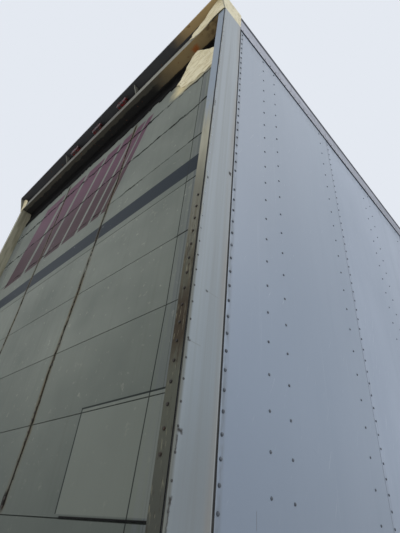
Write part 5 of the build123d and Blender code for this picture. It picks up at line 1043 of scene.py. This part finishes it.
def beadPiece(name, side, bead, finish, body):
    # half-round bead with a slightly wandering width, drawn up the seam
    wander = random.Random(5)
    shape = bmesh.new()
    steps, arc = 56, 5
    middle, reach = (bead["from"] + bead["to"]) / 2, (bead["to"] - bead["from"]) / 2
    loops = []
    for n in range(steps + 1):
        z = bead["low"] + (bead["high"] - bead["low"]) * n / steps
        wide = reach * (0.86 + 0.14 * wander.random())
        loop = []
        for a in range(arc + 1):
            angle = math.pi * a / arc
            y = side * (trailer["sheet"] - 0.0006 + (bead["proud"] + 0.0006) * math.sin(angle))
            loop.append(shape.verts.new((middle + wide * math.cos(angle), y, z)))
        loops.append(loop)
    skin(shape, loops, smooth=False)
    return shapePiece(name, shape, finish, body)


for side, word in bothSides:
    beadPiece("seam_sealant_" + word, side, seamBead, oldSealant, "trailer")

# Nose: rivets down both edges of the front wall and beside its ribs, and round the corner posts
noseRivets = {
    "pitch": 0.0762, "low": 1.30, "corner": 0.118,
    "columns": (-1.083, -0.634, -0.585, -0.0245, 0.0245, 0.585, 0.634, 1.083), "rows": (1.160, 3.985),
}
up, over = (0, 0, noseRivets["pitch"]), (0, noseRivets["pitch"], 0)
noseRows = [("wallRivet", (nose, y, noseRivets["low"]), up, 35, "ahead") for y in noseRivets["columns"]]
noseRows += [("wallRivet", (nose, -1.06, z), over, 28, "ahead") for z in noseRivets["rows"]]
noseRows += [("wallRivet", (nose - noseRivets["corner"], side * half, noseRivets["low"]), up, 35, word)
             for side, word in bothSides]
fieldPiece("nose_rivets", noseRows, rivetMetal, "trailer")
print("trailer: rail and nose fasteners set")

# Rear frame: bolts down the narrow rear face, small screws round the corner

postBolts = {"column": 0.0330, "pitch": 0.0495, "low": 1.305, "count": 53, "screwPlace": 0.0085}
boltRuns = ((0, 7, 0.0), (10, 16, 0.0008))     # first bolt, how many, step outwards: some are missing

frameRows, screwRows = [], []
for side, word in bothSides:
    y = side * (half - postBolts["column"])
    for first, count, outward in boltRuns:
        frameRows.append(("stripBolt", (rear, y, postBolts["low"] + first * postBolts["pitch"]),
                          (0, side * outward, postBolts["pitch"]), count, "back"))
    screwRows.append(("smallScrew", (rear + postBolts["screwPlace"], side * half, postBolts["low"] + 0.004),
                      (0, 0, postBolts["pitch"]), postBolts["count"], word))
fieldPiece("post_bolts", frameRows, rustyBolt, "trailer")
fieldPiece("post_screws", screwRows, seamRivetMetal, "trailer")

# Door: carriage bolts of the hinges, two above and two below each joint, and of the end hinges

doorBolts = {"columns": (-0.329, 0.365, -1.095, 1.095), "offsets": (-0.046, -0.021, 0.021, 0.046),
             "drift": -0.0138}     # the first column leans with the hinges, by this much a section

doorRows = []
for y in doorBolts["columns"]:
    drift = doorBolts["drift"] if y == doorBolts["columns"][0] else 0
    for dz in doorBolts["offsets"]:
        doorRows.append(("carriageBolt", (trailer["door"], y, jointZ + dz), (0, drift, jointPitch), 8,
                         "back"))
fieldPiece("door_hinge_bolts", doorRows, rustyBolt, "trailer")
print("trailer: rear frame and door bolts set")


# Sheet metal and rubber bits that the frame doesn't carry

def sheetPiece(name, outline, place, thick, finish, body, bend=None, cuts=1):
    # outline: (across, height) points of a flat sheet seen from the rear, place: x of its outer face;
    # bend: how far a point stands off, from its across and height
    shape = bmesh.new()
    loop = [shape.verts.new((place, y, z)) for y, z in outline]
    shape.faces.new(loop)
    bmesh.ops.triangulate(shape, faces=shape.faces[:])
    if cuts > 1:
        bmesh.ops.subdivide_edges(shape, edges=shape.edges[:], cuts=cuts, use_grid_fill=True)
    for vert in shape.verts:
        if bend:
            vert.co.x += bend(vert.co.y, vert.co.z)
    grown = bmesh.ops.extrude_face_region(shape, geom=shape.faces[:])
    for item in grown["geom"]:
        if isinstance(item, bmesh.types.BMVert):
            item.co.x += thick
    return shapePiece(name, shape, finish, body)


# Cream enamel as painted sunlight on the white paint, for the patches where sun falls: satin, dull tan in its
# creases
sunlitCreamEnamel = makeFinish("cream_enamel_painted_sunlight", {
    "base": "#d8cfae", "roughness": 0.55, "shader": enamel,
    "layers": [
        patches("#b5a67d", 0.7, (14, 60, 14), (0.45, 0.64), rough=0.7),
        patches("#7c6744", 0.8, (10, 24, 10), (0.62, 0.70), seed=2, rough=0.85),
        waves(0.8, (20, 60, 16), 3),
    ]})

bentTrim = {
    # torn end of the lamp cover, bent out from the header at its right end, its cream and jagged outline
    # painted sunlight: (from the right edge, height)
    "outline": [
        (0.004, 4.084), (0.004, 3.957), (0.060, 3.956), (0.118, 3.957), (0.150, 3.964), (0.166, 3.958),
        (0.205, 3.966), (0.232, 3.961), (0.246, 3.972), (0.268, 3.984), (0.240, 3.999), (0.250, 4.012),
        (0.236, 4.030), (0.205, 4.038), (0.188, 4.052), (0.150, 4.056), (0.122, 4.071), (0.085, 4.078),
        (0.052, 4.086)],
    "standOff": 0.0045, "thick": 0.0015, "leftShare": 0.42,
    # height of the fold, how far above it the bend is whole, how far it stands off there on each side
    "fold": 3.99, "reach": 0.09, "bendRight": 0.013, "bendLeft": 0.010, "buckle": 0.004,
}


def trimBend(z):
    return max(0.0, (z - bentTrim["fold"]) / bentTrim["reach"]) ** 1.5


sheetPiece(
    "bent_lamp_cover", [(-half + y, z) for y, z in bentTrim["outline"]],
    rear - bentTrim["standOff"], bentTrim["thick"], sunlitCreamEnamel, "trailer", cuts=5,
    bend=lambda y, z: -bentTrim["bendRight"] * trimBend(z) - bentTrim["buckle"] * math.sin((y + half) * 26))
# a narrower copy at the left end, in the same painted sunlight
sheetPiece(
    "bent_lamp_cover_left", [(half - y * bentTrim["leftShare"], z) for y, z in reversed(bentTrim["outline"])],
    rear - bentTrim["standOff"], bentTrim["thick"], sunlitCreamEnamel, "trailer", cuts=4,
    bend=lambda y, z: -bentTrim["bendLeft"] * trimBend(z))

peeledSkin = {
    # door skin lifted at the top edge of the uppermost section, its cream painted sunlight: (from the right
    # edge, height)
    "outline": [
        (0.062, 3.797), (0.055, 3.660), (0.118, 3.653), (0.180, 3.640), (0.214, 3.655), (0.258, 3.646),
        (0.300, 3.664), (0.338, 3.672), (0.372, 3.700), (0.384, 3.736), (0.412, 3.764), (0.380, 3.780),
        (0.366, 3.812), (0.344, 3.846), (0.338, 3.872), (0.312, 3.886), (0.286, 3.899), (0.262, 3.895),
        (0.238, 3.901), (0.214, 3.888), (0.196, 3.868), (0.178, 3.858), (0.150, 3.826), (0.128, 3.812)],
    "standOff": 0.0022, "thick": 0.0012,
    "clear": 0.0045,     # how far it stands off the seal behind it
    "curl": 0.014, "crease": 0.0012,
}


def skinBend(y, z):
    clear = peeledSkin["clear"] * min(1.0, max(0.0, (z - 3.69) / 0.06))
    curl = peeledSkin["curl"] * max(0.0, (z - 3.70) / 0.19) ** 2 * (1 + 0.5 * math.sin(y * 31))
    return -clear - curl - peeledSkin["crease"] * math.sin(y * 88 + z * 40)


sheetPiece(
    "peeled_door_skin", [(-half + y, z) for y, z in peeledSkin["outline"]],
    trailer["door"] - peeledSkin["standOff"], peeledSkin["thick"], sunlitCreamEnamel, "trailer",
    skinBend, cuts=6)

# Painted shadow in the gap under the header: a black rubber sheet with a ragged lower edge hanging over the
# door's upper edge, as remains of the top seal
shreds = random.Random(11)
raggedEdge = {"low": 3.772, "high": 3.815, "top": 3.93, "half": 1.165, "step": 0.022}
edge, y = [], -raggedEdge["half"]
while y < raggedEdge["half"]:
    deep = raggedEdge["low"] + shreds.random() ** 2 * (raggedEdge["high"] - raggedEdge["low"])
    if -0.87 < y < -0.60:
        deep -= 0.006
    edge.append((y, deep))
    y += raggedEdge["step"] * (0.6 + shreds.random())
outline = [(-raggedEdge["half"], raggedEdge["top"])] + edge + [(raggedEdge["half"], raggedEdge["top"])]
sheetPiece("ragged_top_seal", outline, trailer["door"] - 0.004, 0.003, shadeBlackSeal, "trailer",
           bend=lambda y, z: 0.020 * max(0.0, (z - 3.80) / 0.13) + 0.0012 * math.sin(y * 90))
print("trailer: bent trim, peeled skin and ragged seal made")


# Running gear

axleZ, wheelY = trailer["axleZ"], trailer["wheelY"]
wheelPlaces = [(end, side, word) for end in ("rear", "front") for side, word in bothSides]

# Rib tyres: five ribs between zigzag grooves, a serrated shoulder, rings on the sidewall
ribTyre = {
    "pitches": 56, "zigzag": 0.0026, "serration": 0.0035,
    # half the tread from the middle out: (distance from the middle, radius, how much it zigzags, serrated)
    "tread": [
        (0.0185, 0.5220, 1, 0), (0.0200, 0.5095, 1, 0), (0.0265, 0.5095, 1, 0), (0.0280, 0.5220, 1, 0),
        (0.0625, 0.5215, 1, 0), (0.0640, 0.5090, 1, 0), (0.0700, 0.5090, 1, 0), (0.0715, 0.5212, 1, 0),
        (0.0975, 0.5195, 0, 0), (0.1050, 0.5170, 0, 1), (0.1075, 0.5095, 0, 1),
    ],
    "wall": [
        (0.1110, 0.5040), (0.1100, 0.5015), (0.1175, 0.4985), (0.1240, 0.4890), (0.1290, 0.4700),
        (0.1335, 0.4480), (0.1350, 0.4465), (0.1365, 0.4300), (0.1380, 0.4080), (0.1380, 0.3860),
        (0.1362, 0.3640), (0.1330, 0.3510), (0.1348, 0.3495), (0.1348, 0.3440), (0.1315, 0.3425),
        (0.1240, 0.3260), (0.1140, 0.3130), (0.1057, 0.3050), (0.1057, 0.2863),
    ],
    "inside": [(0.0797, 0.2863), (0.1220, 0.3640), (0.1220, 0.4240), (0.1040, 0.4800), (0.0740, 0.4940)],
}


def ribTyres(name, x, side, tyre, finish, body):
    shape = bmesh.new()
    steps = 2 * tyre["pitches"]
    outer = tyre["tread"] + [(u, r, 0, 0) for u, r in tyre["wall"] + tyre["inside"]]
    section = outer + [(-u, r, zig, cut) for u, r, zig, cut in reversed(outer)]
    treadEnd = len(tyre["tread"])
    for middle in (-trailer["twinHalf"], trailer["twinHalf"]):
        loops = []
        for n in range(steps):
            odd = 1 if n % 2 else -1
            loop = []
            for u, r, zig, cut in section:
                radius = r - (tyre["serration"] if cut and n % 4 == 0 else 0)
                loop.append(shape.verts.new(around(
                    (x, side * wheelY + middle, axleZ), u + odd * zig * tyre["zigzag"], radius,
                    math.tau * n / steps)))
            loops.append(loop)
        ringSkin(shape, loops, lambda n: treadEnd <= n < len(section) - treadEnd - 1)
    return shapePiece(name, shape, finish, body)


for end, side, word in wheelPlaces:
    tyrePiece = ribTyres(f"rib_tyres_{end}_{word}", axlePlaces[end], side, ribTyre, tyreRubber,
                         f"wheels_{end}_{word}")
    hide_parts(f"tyres_{end}_{word}")
print("trailer: rib tyres on the rims")

# Wheel ends: nuts round the outer disc, cap screws, filler plug in the hub cap, valves through the hand holes
wheelEnd = {
    "nutFace": 0.0110, "nutCircle": 0.1429, "nuts": 10, "nutTurn": 0.1,
    "capFace": 0.1250, "capCircle": 0.0840, "capScrews": 6, "screwTurn": 0.3,
    "hubFace": 0.1750,
    "plug": [
        (-0.0005, 0.034), (0.0030, 0.034), (0.0045, 0.031), (0.0045, 0.018), (0.0110, 0.016),
        (0.0130, 0.012)],
    "collar": [(-0.0005, 0.052), (0.0035, 0.052), (0.0035, 0.060), (-0.0005, 0.060)],
    "stems": [
        # (radius at its foot, along y at its foot, radius at its tip, along y at its tip, turn from the top)
        (0.2460, 0.1500, 0.2300, 0.2050, 36), (0.2200, 0.0000, 0.2160, 0.1650, 72),
    ],
    # a cap thickens the last part of each stem
    "stemRadius": 0.0045, "capStart": 0.78, "capScale": 1.35,
}


def wheelEndPieces(end, side, word):
    x, y = axlePlaces[end], side * wheelY
    body = f"wheels_{end}_{word}"
    nuts, screws = ((x, y + side * wheelEnd[key], axleZ) for key in ("nutFace", "capFace"))
    circlePiece(f"wheel_nuts_{end}_{word}", [
        ("lugNut", nuts, wheelEnd["nutCircle"], wheelEnd["nuts"], wheelEnd["nutTurn"], word),
        ("capScrew", screws, wheelEnd["capCircle"], wheelEnd["capScrews"], wheelEnd["screwTurn"], word),
    ], nutSteel, body)
    shape = bmesh.new()
    face = (x, y + side * wheelEnd["hubFace"], axleZ)
    turns = [math.tau * n / 24 for n in range(24)]
    skin(shape, [[shape.verts.new(around(face, side * u, r, a)) for a in turns] for u, r in wheelEnd["plug"]])
    turnedRing(shape, face, [(side * u, r) for u, r in wheelEnd["collar"]], 28)
    for footR, footU, tipR, tipU, turn in wheelEnd["stems"]:
        a = math.radians(turn)
        foot = Vector(around((x, y, axleZ), side * footU, footR, a))
        tip = Vector(around((x, y, axleZ), side * tipU, tipR, a))
        neck = foot.lerp(tip, wheelEnd["capStart"])
        bentRod(shape, [foot, neck], wheelEnd["stemRadius"])
        bentRod(shape, [neck, tip], wheelEnd["stemRadius"] * wheelEnd["capScale"])
    shapePiece(f"hub_plug_and_valves_{end}_{word}", shape, mouldedRubber, body)


for end, side, word in wheelPlaces:
    wheelEndPieces(end, side, word)
print("trailer: wheel nuts, hub plugs and valves")

# Spring seats: nuts under the plate below each axle, on the U bolts' ends
springSeat = {"boltX": 0.0725, "boltY": 0.0525, "plateLow": 0.4480}
still = (0, 0, 0)
nutRows = []
for axleX in axlePlaces.values():
    for side in (1, -1):
        start = (axleX - springSeat["boltX"], side * trailer["trackY"] - springSeat["boltY"],
                 springSeat["plateLow"] + 0.0004)
        nutRows.append(("smallBolt", start, (2 * springSeat["boltX"], 0, 0), 2, "down",
                        (0, 2 * springSeat["boltY"], 0), 2))

# Hangers: nuts on their pins and bolts through their cheeks
hangerBolts = {
    "places": [(-4.09, 0.640), (-5.2325, 0.620), (-6.375, 0.670)], "pinRise": 0.038,
    "pinOut": 0.5035, "pinIn": 0.3865, "cheek": 0.4960, "low": 0.855, "rise": 0.030, "spread": 0.052,
}
for hangerX, low in hangerBolts["places"]:
    for side, out, into in ((1, "left", "right"), (-1, "right", "left")):
        pinZ = low + hangerBolts["pinRise"]
        nutRows.append(("frameBolt", (hangerX, side * hangerBolts["pinOut"], pinZ), still, 1, out))
        nutRows.append(("frameBolt", (hangerX, side * hangerBolts["pinIn"], pinZ), still, 1, into))
        start = (hangerX - hangerBolts["spread"], side * hangerBolts["cheek"], hangerBolts["low"])
        nutRows.append(("smallBolt", start, (2 * hangerBolts["spread"], 0, 0), 2, out,
                        (0, 0, hangerBolts["rise"]), 2))
fieldPiece("suspension_nuts", nutRows, nutSteel, "tandem")

# Brake chambers: clamp lugs with bolts, a cap and a release plug at the back, nuts through the bracket
chamberParts = {
    "from": 0.235, "y": 0.285, "z": 0.674, "band": 0.094, "back": 0.230,
    "bandRadius": 0.094, "lug": (0.014, 0.020, 0.018),
    # radius, where it starts and ends behind the chamber, number of sides
    "rods": [(0.030, 0.001, -0.010, 18), (0.016, -0.009, -0.022, 6)],
}
chamberShape, chamberRows = bmesh.new(), []
for axleX in axlePlaces.values():
    for side in (1, -1):
        y, z = side * chamberParts["y"], chamberParts["z"]
        faceX = axleX - chamberParts["from"]
        bandX, endX = faceX - chamberParts["band"], faceX - chamberParts["back"]
        long, wide, tall = chamberParts["lug"]
        for up in (1, -1):
            at = z + up * chamberParts["bandRadius"]
            low, high = sorted((at, at + up * tall))
            slab(chamberShape, (bandX - long, y - wide, low), (bandX + long, y + wide, high), 0.003)
            chamberRows.append(("smallBolt", (bandX - long + 0.0002, y, at + up * 0.009), still, 1, "back"))
        for radius, start, stop, edges in chamberParts["rods"]:
            bentRod(chamberShape, [(endX + start, y, z), (endX + stop, y, z)], radius, edges)
        chamberRows.append(("smallBolt", (endX + 0.0004, y - 0.045, z + 0.035), (0, 0.090, 0), 2, "back"))
        chamberRows.append(("smallBolt", (faceX + 0.0078, y - 0.029, z - 0.030), (0, 0.058, 0), 2, "ahead",
                            (0, 0, 0.060), 2))
shapePiece("brake_chamber_fittings", chamberShape, zincSteel, "tandem")
fieldPiece("brake_chamber_bolts", chamberRows, nutSteel, "tandem")

# Air tank: two straps, ports with plugs, a drain cock below
tankParts = {
    "x": -4.26, "z": 0.791, "radius": 0.112, "straps": (-0.20, 0.20), "strapHalf": 0.016,
    "ports": (-0.27, -0.08, 0.08),
    # radius, where it starts and ends below the tank, number of sides
    "rods": [(0.014, 0.004, -0.008, 12), (0.009, -0.007, -0.018, 6)],
}
tankShape = bmesh.new()
for y in tankParts["straps"]:
    w, r = tankParts["strapHalf"], tankParts["radius"]
    turnedRing(tankShape, (tankParts["x"], y, tankParts["z"]),
               [(-w, r - 0.0003), (w, r - 0.0003), (w, r + 0.0022), (-w, r + 0.0022)], 36)
for y in tankParts["ports"]:
    x, z = tankParts["x"], tankParts["z"] - tankParts["radius"]
    for radius, start, stop, edges in tankParts["rods"]:
        bentRod(tankShape, [(x, y, z + start), (x, y, z + stop)], radius, edges)
shapePiece("air_tank_straps", tankShape, zincSteel, "tandem")

# Mud flaps: a clamp strip with bolts along the top of each
flapParts = {"x": -6.5360, "from": 0.640, "to": 1.176, "z": 0.9500, "bolts": 5}
flapShape, flapRows = bmesh.new(), []
for side in (1, -1):
    low, high = sorted((side * (flapParts["from"] - 0.02), side * (flapParts["to"] + 0.02)))
    slab(flapShape, (flapParts["x"] - 0.0042, low, flapParts["z"] - 0.016),
         (flapParts["x"] + 0.0003, high, flapParts["z"] + 0.016), 0.001)
    gap = (flapParts["to"] - flapParts["from"]) / (flapParts["bolts"] - 1)
    flapRows.append(("smallBolt", (flapParts["x"] - 0.0040, side * flapParts["from"], flapParts["z"]),
                     (0, side * gap, 0), flapParts["bolts"], "back"))
shapePiece("mud_flap_strips", flapShape, zincSteel, "tandem")
fieldPiece("mud_flap_bolts", flapRows, nutSteel, "tandem")
print("trailer: suspension, brakes, tank and flaps fitted out")


# Landing legs: bolts through the mounting plates and gearbox covers
legBolts = {
    "x": 3.573, "plateFace": 0.785, "plateX": 0.118, "rows": (0.985, 1.045, 1.105),
    "coverFace": 0.9903, "coverX": 0.040, "coverZ": (0.703, 0.817),
}
legRows = []
for side, word in bothSides:
    for dx in (-legBolts["plateX"], legBolts["plateX"]):
        for z in legBolts["rows"]:
            legRows.append(("frameBolt", (legBolts["x"] + dx, side * legBolts["plateFace"], z), still, 1,
                            word))
for z in legBolts["coverZ"]:
    legRows.append(("smallBolt", (legBolts["x"] - legBolts["coverX"], legBolts["coverFace"], z),
                    (2 * legBolts["coverX"], 0, 0), 2, "left"))
fieldPiece("landing_leg_bolts", legRows, nutSteel, "trailer")

# Retroreflective tape: blank red and white lengths along the bottom rails and across the rear guard
tapeRun = {
    "low": 1.2170, "high": 1.2670, "face": 1.2070, "thick": 0.0004, "red": 0.280, "white": 0.178,
    "from": rear + 0.165, "to": nose - 0.150, "clear": [(-6.867, 0.085), (6.845, 0.085), (-0.0125, 0.085)],
    "guardX": -7.2150, "guardLow": 0.5250, "guardHigh": 0.5750, "guardHalf": 1.100,
}
tapeShapes = {"red": bmesh.new(), "white": bmesh.new()}


def tapeLengths(start, stop, clear):
    # alternate lengths between two ends, cut back from each lamp
    place, colour = start, "red"
    while place < stop - 0.04:
        after = min(place + tapeRun[colour], stop)
        if not any(place - reach < lamp < after + reach for lamp, reach in clear):
            yield colour, place, after
        place = after + 0.0006
        colour = "white" if colour == "red" else "red"


for side in (1, -1):
    inner, outer = sorted((side * (tapeRun["face"] - 0.0002), side * (tapeRun["face"] + tapeRun["thick"])))
    for colour, start, stop in tapeLengths(tapeRun["from"], tapeRun["to"], tapeRun["clear"]):
        slab(tapeShapes[colour], (start, inner, tapeRun["low"]), (stop, outer, tapeRun["high"]), 0.0001)
for colour, start, stop in tapeLengths(-tapeRun["guardHalf"], tapeRun["guardHalf"], []):
    slab(tapeShapes[colour], (tapeRun["guardX"] - tapeRun["thick"], start, tapeRun["guardLow"]),
         (tapeRun["guardX"] + 0.0002, stop, tapeRun["guardHigh"]), 0.0001)
shapePiece("reflective_tape_red", tapeShapes["red"], redTape, "trailer")
shapePiece("reflective_tape_white", tapeShapes["white"], whiteTape, "trailer")
print("trailer: landing legs and tape")

# Round lamps sit in rubber grommets
grommet = {
    "ys": (0.919, 0.769, 0.619), "z": 1.184,
    # section: (out of the sill, radius)
    "section": [(0.0005, 0.0535), (-0.0045, 0.0535), (-0.0060, 0.0570), (-0.0045, 0.0620), (0.0005, 0.0640)],
}
grommetShape = bmesh.new()
for y in [s * v for s in (1, -1) for v in grommet["ys"]]:
    turnedRing(grommetShape, (rear, y, grommet["z"]), grommet["section"], 36, "X")
shapePiece("lamp_grommets", grommetShape, mouldedRubber, "trailer")

# Dock bumpers and rear guard: bolts sunk in the rubber, bolts through the guard's posts
bumperBolts = {"face": -7.3150, "y": 1.109, "z": 1.065, "rise": 0.090}
guardBolts = {"y": 0.46, "half": 0.02, "z": 1.110, "rise": 0.148}
bumperRows = []
for side in (1, -1):
    bumperRows.append(("smallBolt", (bumperBolts["face"], side * bumperBolts["y"], bumperBolts["z"]),
                       (0, 0, bumperBolts["rise"]), 2, "back"))
    bumperRows.append(("smallBolt", (rear, side * guardBolts["y"] - guardBolts["half"], guardBolts["z"]),
                       (0, 2 * guardBolts["half"], 0), 2, "back", (0, 0, guardBolts["rise"]), 2))
fieldPiece("bumper_bolts", bumperRows, nutSteel, "trailer")

# Air couplings: rubber seals on their faces
couplingSeal = {
    "face": 7.3150, "y": 0.120, "z": 1.475,
    "section": [(-0.0005, 0.012), (0.0035, 0.013), (0.0045, 0.018), (0.0030, 0.022), (-0.0005, 0.023)],
}
sealShape = bmesh.new()
for y in (-couplingSeal["y"], couplingSeal["y"]):
    turnedRing(sealShape, (couplingSeal["face"], y, couplingSeal["z"]), couplingSeal["section"], 24, "X")
shapePiece("coupling_seals", sealShape, mouldedRubber, "trailer")

# Roof: rivets down both edges of the sheet, set on its surface
roofRivets = {"y": 1.176, "from": rear + 0.12, "pitch": 0.0762, "count": 187}
roofRows = []
roofMesh = nodes["roof"]
for side in (1, -1):
    above = Vector((0.0, side * roofRivets["y"], 5.0))
    hit, place, *_ = roofMesh.ray_cast(roofMesh.matrix_world.inverted() @ above, Vector((0, 0, -1)))
    if hit:
        top = (roofMesh.matrix_world @ place).z
        roofRows.append(("railRivet", (roofRivets["from"], side * roofRivets["y"], top),
                         (roofRivets["pitch"], 0, 0), roofRivets["count"], "up"))
fieldPiece("roof_rivets", roofRows, railRivetMetal, "trailer")
print("trailer: lamps, couplings and roof fastened")


# Stage: pale floor, pale backdrop, soft even light

stage = {
    "floor": "#e9e8e4", "floorSize": 240, "backdrop": "#e4e9f1",
    "skyLevel": 0.57, "sky": "#eef2f8",
    # name, strength, spread in degrees, heading and height that the light comes from in degrees
    "suns": [
        ("keyFromRight", 1.32, 50, -75, 38), ("fillFromRear", 0.68, 60, 188, 30),
        ("fillFromLeft", 0.55, 60, 70, 40)],
}
floorMaterial = bpy.data.materials.new("pale_studio_floor")
floorMaterial.use_nodes = True
floorShader = floorMaterial.node_tree.nodes["Principled BSDF"].inputs
floorShader["Base Color"].default_value = hexColour(stage["floor"])
floorShader["Roughness"].default_value = 0.9
floorMesh = bpy.data.meshes.new("studioFloor")
span = stage["floorSize"] / 2
floorMesh.from_pydata([(x * span, y * span, 0) for x, y in ((-1, -1), (1, -1), (1, 1), (-1, 1))],
                      [], [(0, 1, 2, 3)])
floorMesh.materials.append(floorMaterial)
floor = addObject("studioFloor", floorMesh)
floor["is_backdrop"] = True

world = bpy.data.worlds.new("studio")
bpy.context.scene.world = world
world.use_nodes = True
worldTree = world.node_tree
worldTree.nodes.clear()
ray = addNode(worldTree, "ShaderNodeLightPath").outputs
seen = compute(worldTree, "MAXIMUM", ray["Is Camera Ray"], ray["Is Glossy Ray"])
seen = compute(worldTree, "MAXIMUM", seen, ray["Is Transmission Ray"])
light, backdrop = (
    addNode(worldTree, "ShaderNodeBackground", {"Color": hexColour(colour), "Strength": level}).outputs[0]
    for colour, level in ((stage["sky"], stage["skyLevel"]), (stage["backdrop"], 1.0)))
both = addNode(worldTree, "ShaderNodeMixShader", {0: seen, 1: light, 2: backdrop})
addNode(worldTree, "ShaderNodeOutputWorld", {0: both.outputs[0]})

for name, strength, spread, heading, height in stage["suns"]:
    lamp = bpy.data.lights.new(name, "SUN")
    lamp.energy = strength
    lamp.angle = math.radians(spread)
    sun = addObject(name, lamp)
    heading, height = math.radians(heading), math.radians(height)
    toLamp = Vector((math.cos(heading) * math.cos(height), math.sin(heading) * math.cos(height),
                     math.sin(height)))
    sun.rotation_mode = "QUATERNION"
    sun.rotation_quaternion = toLamp.to_track_quat("Z", "Y")

bpy.context.scene.view_settings.view_transform = "Standard"
print("trailer: stage and light set")

for head in heads.values():
    bpy.data.objects.remove(head)

low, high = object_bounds()
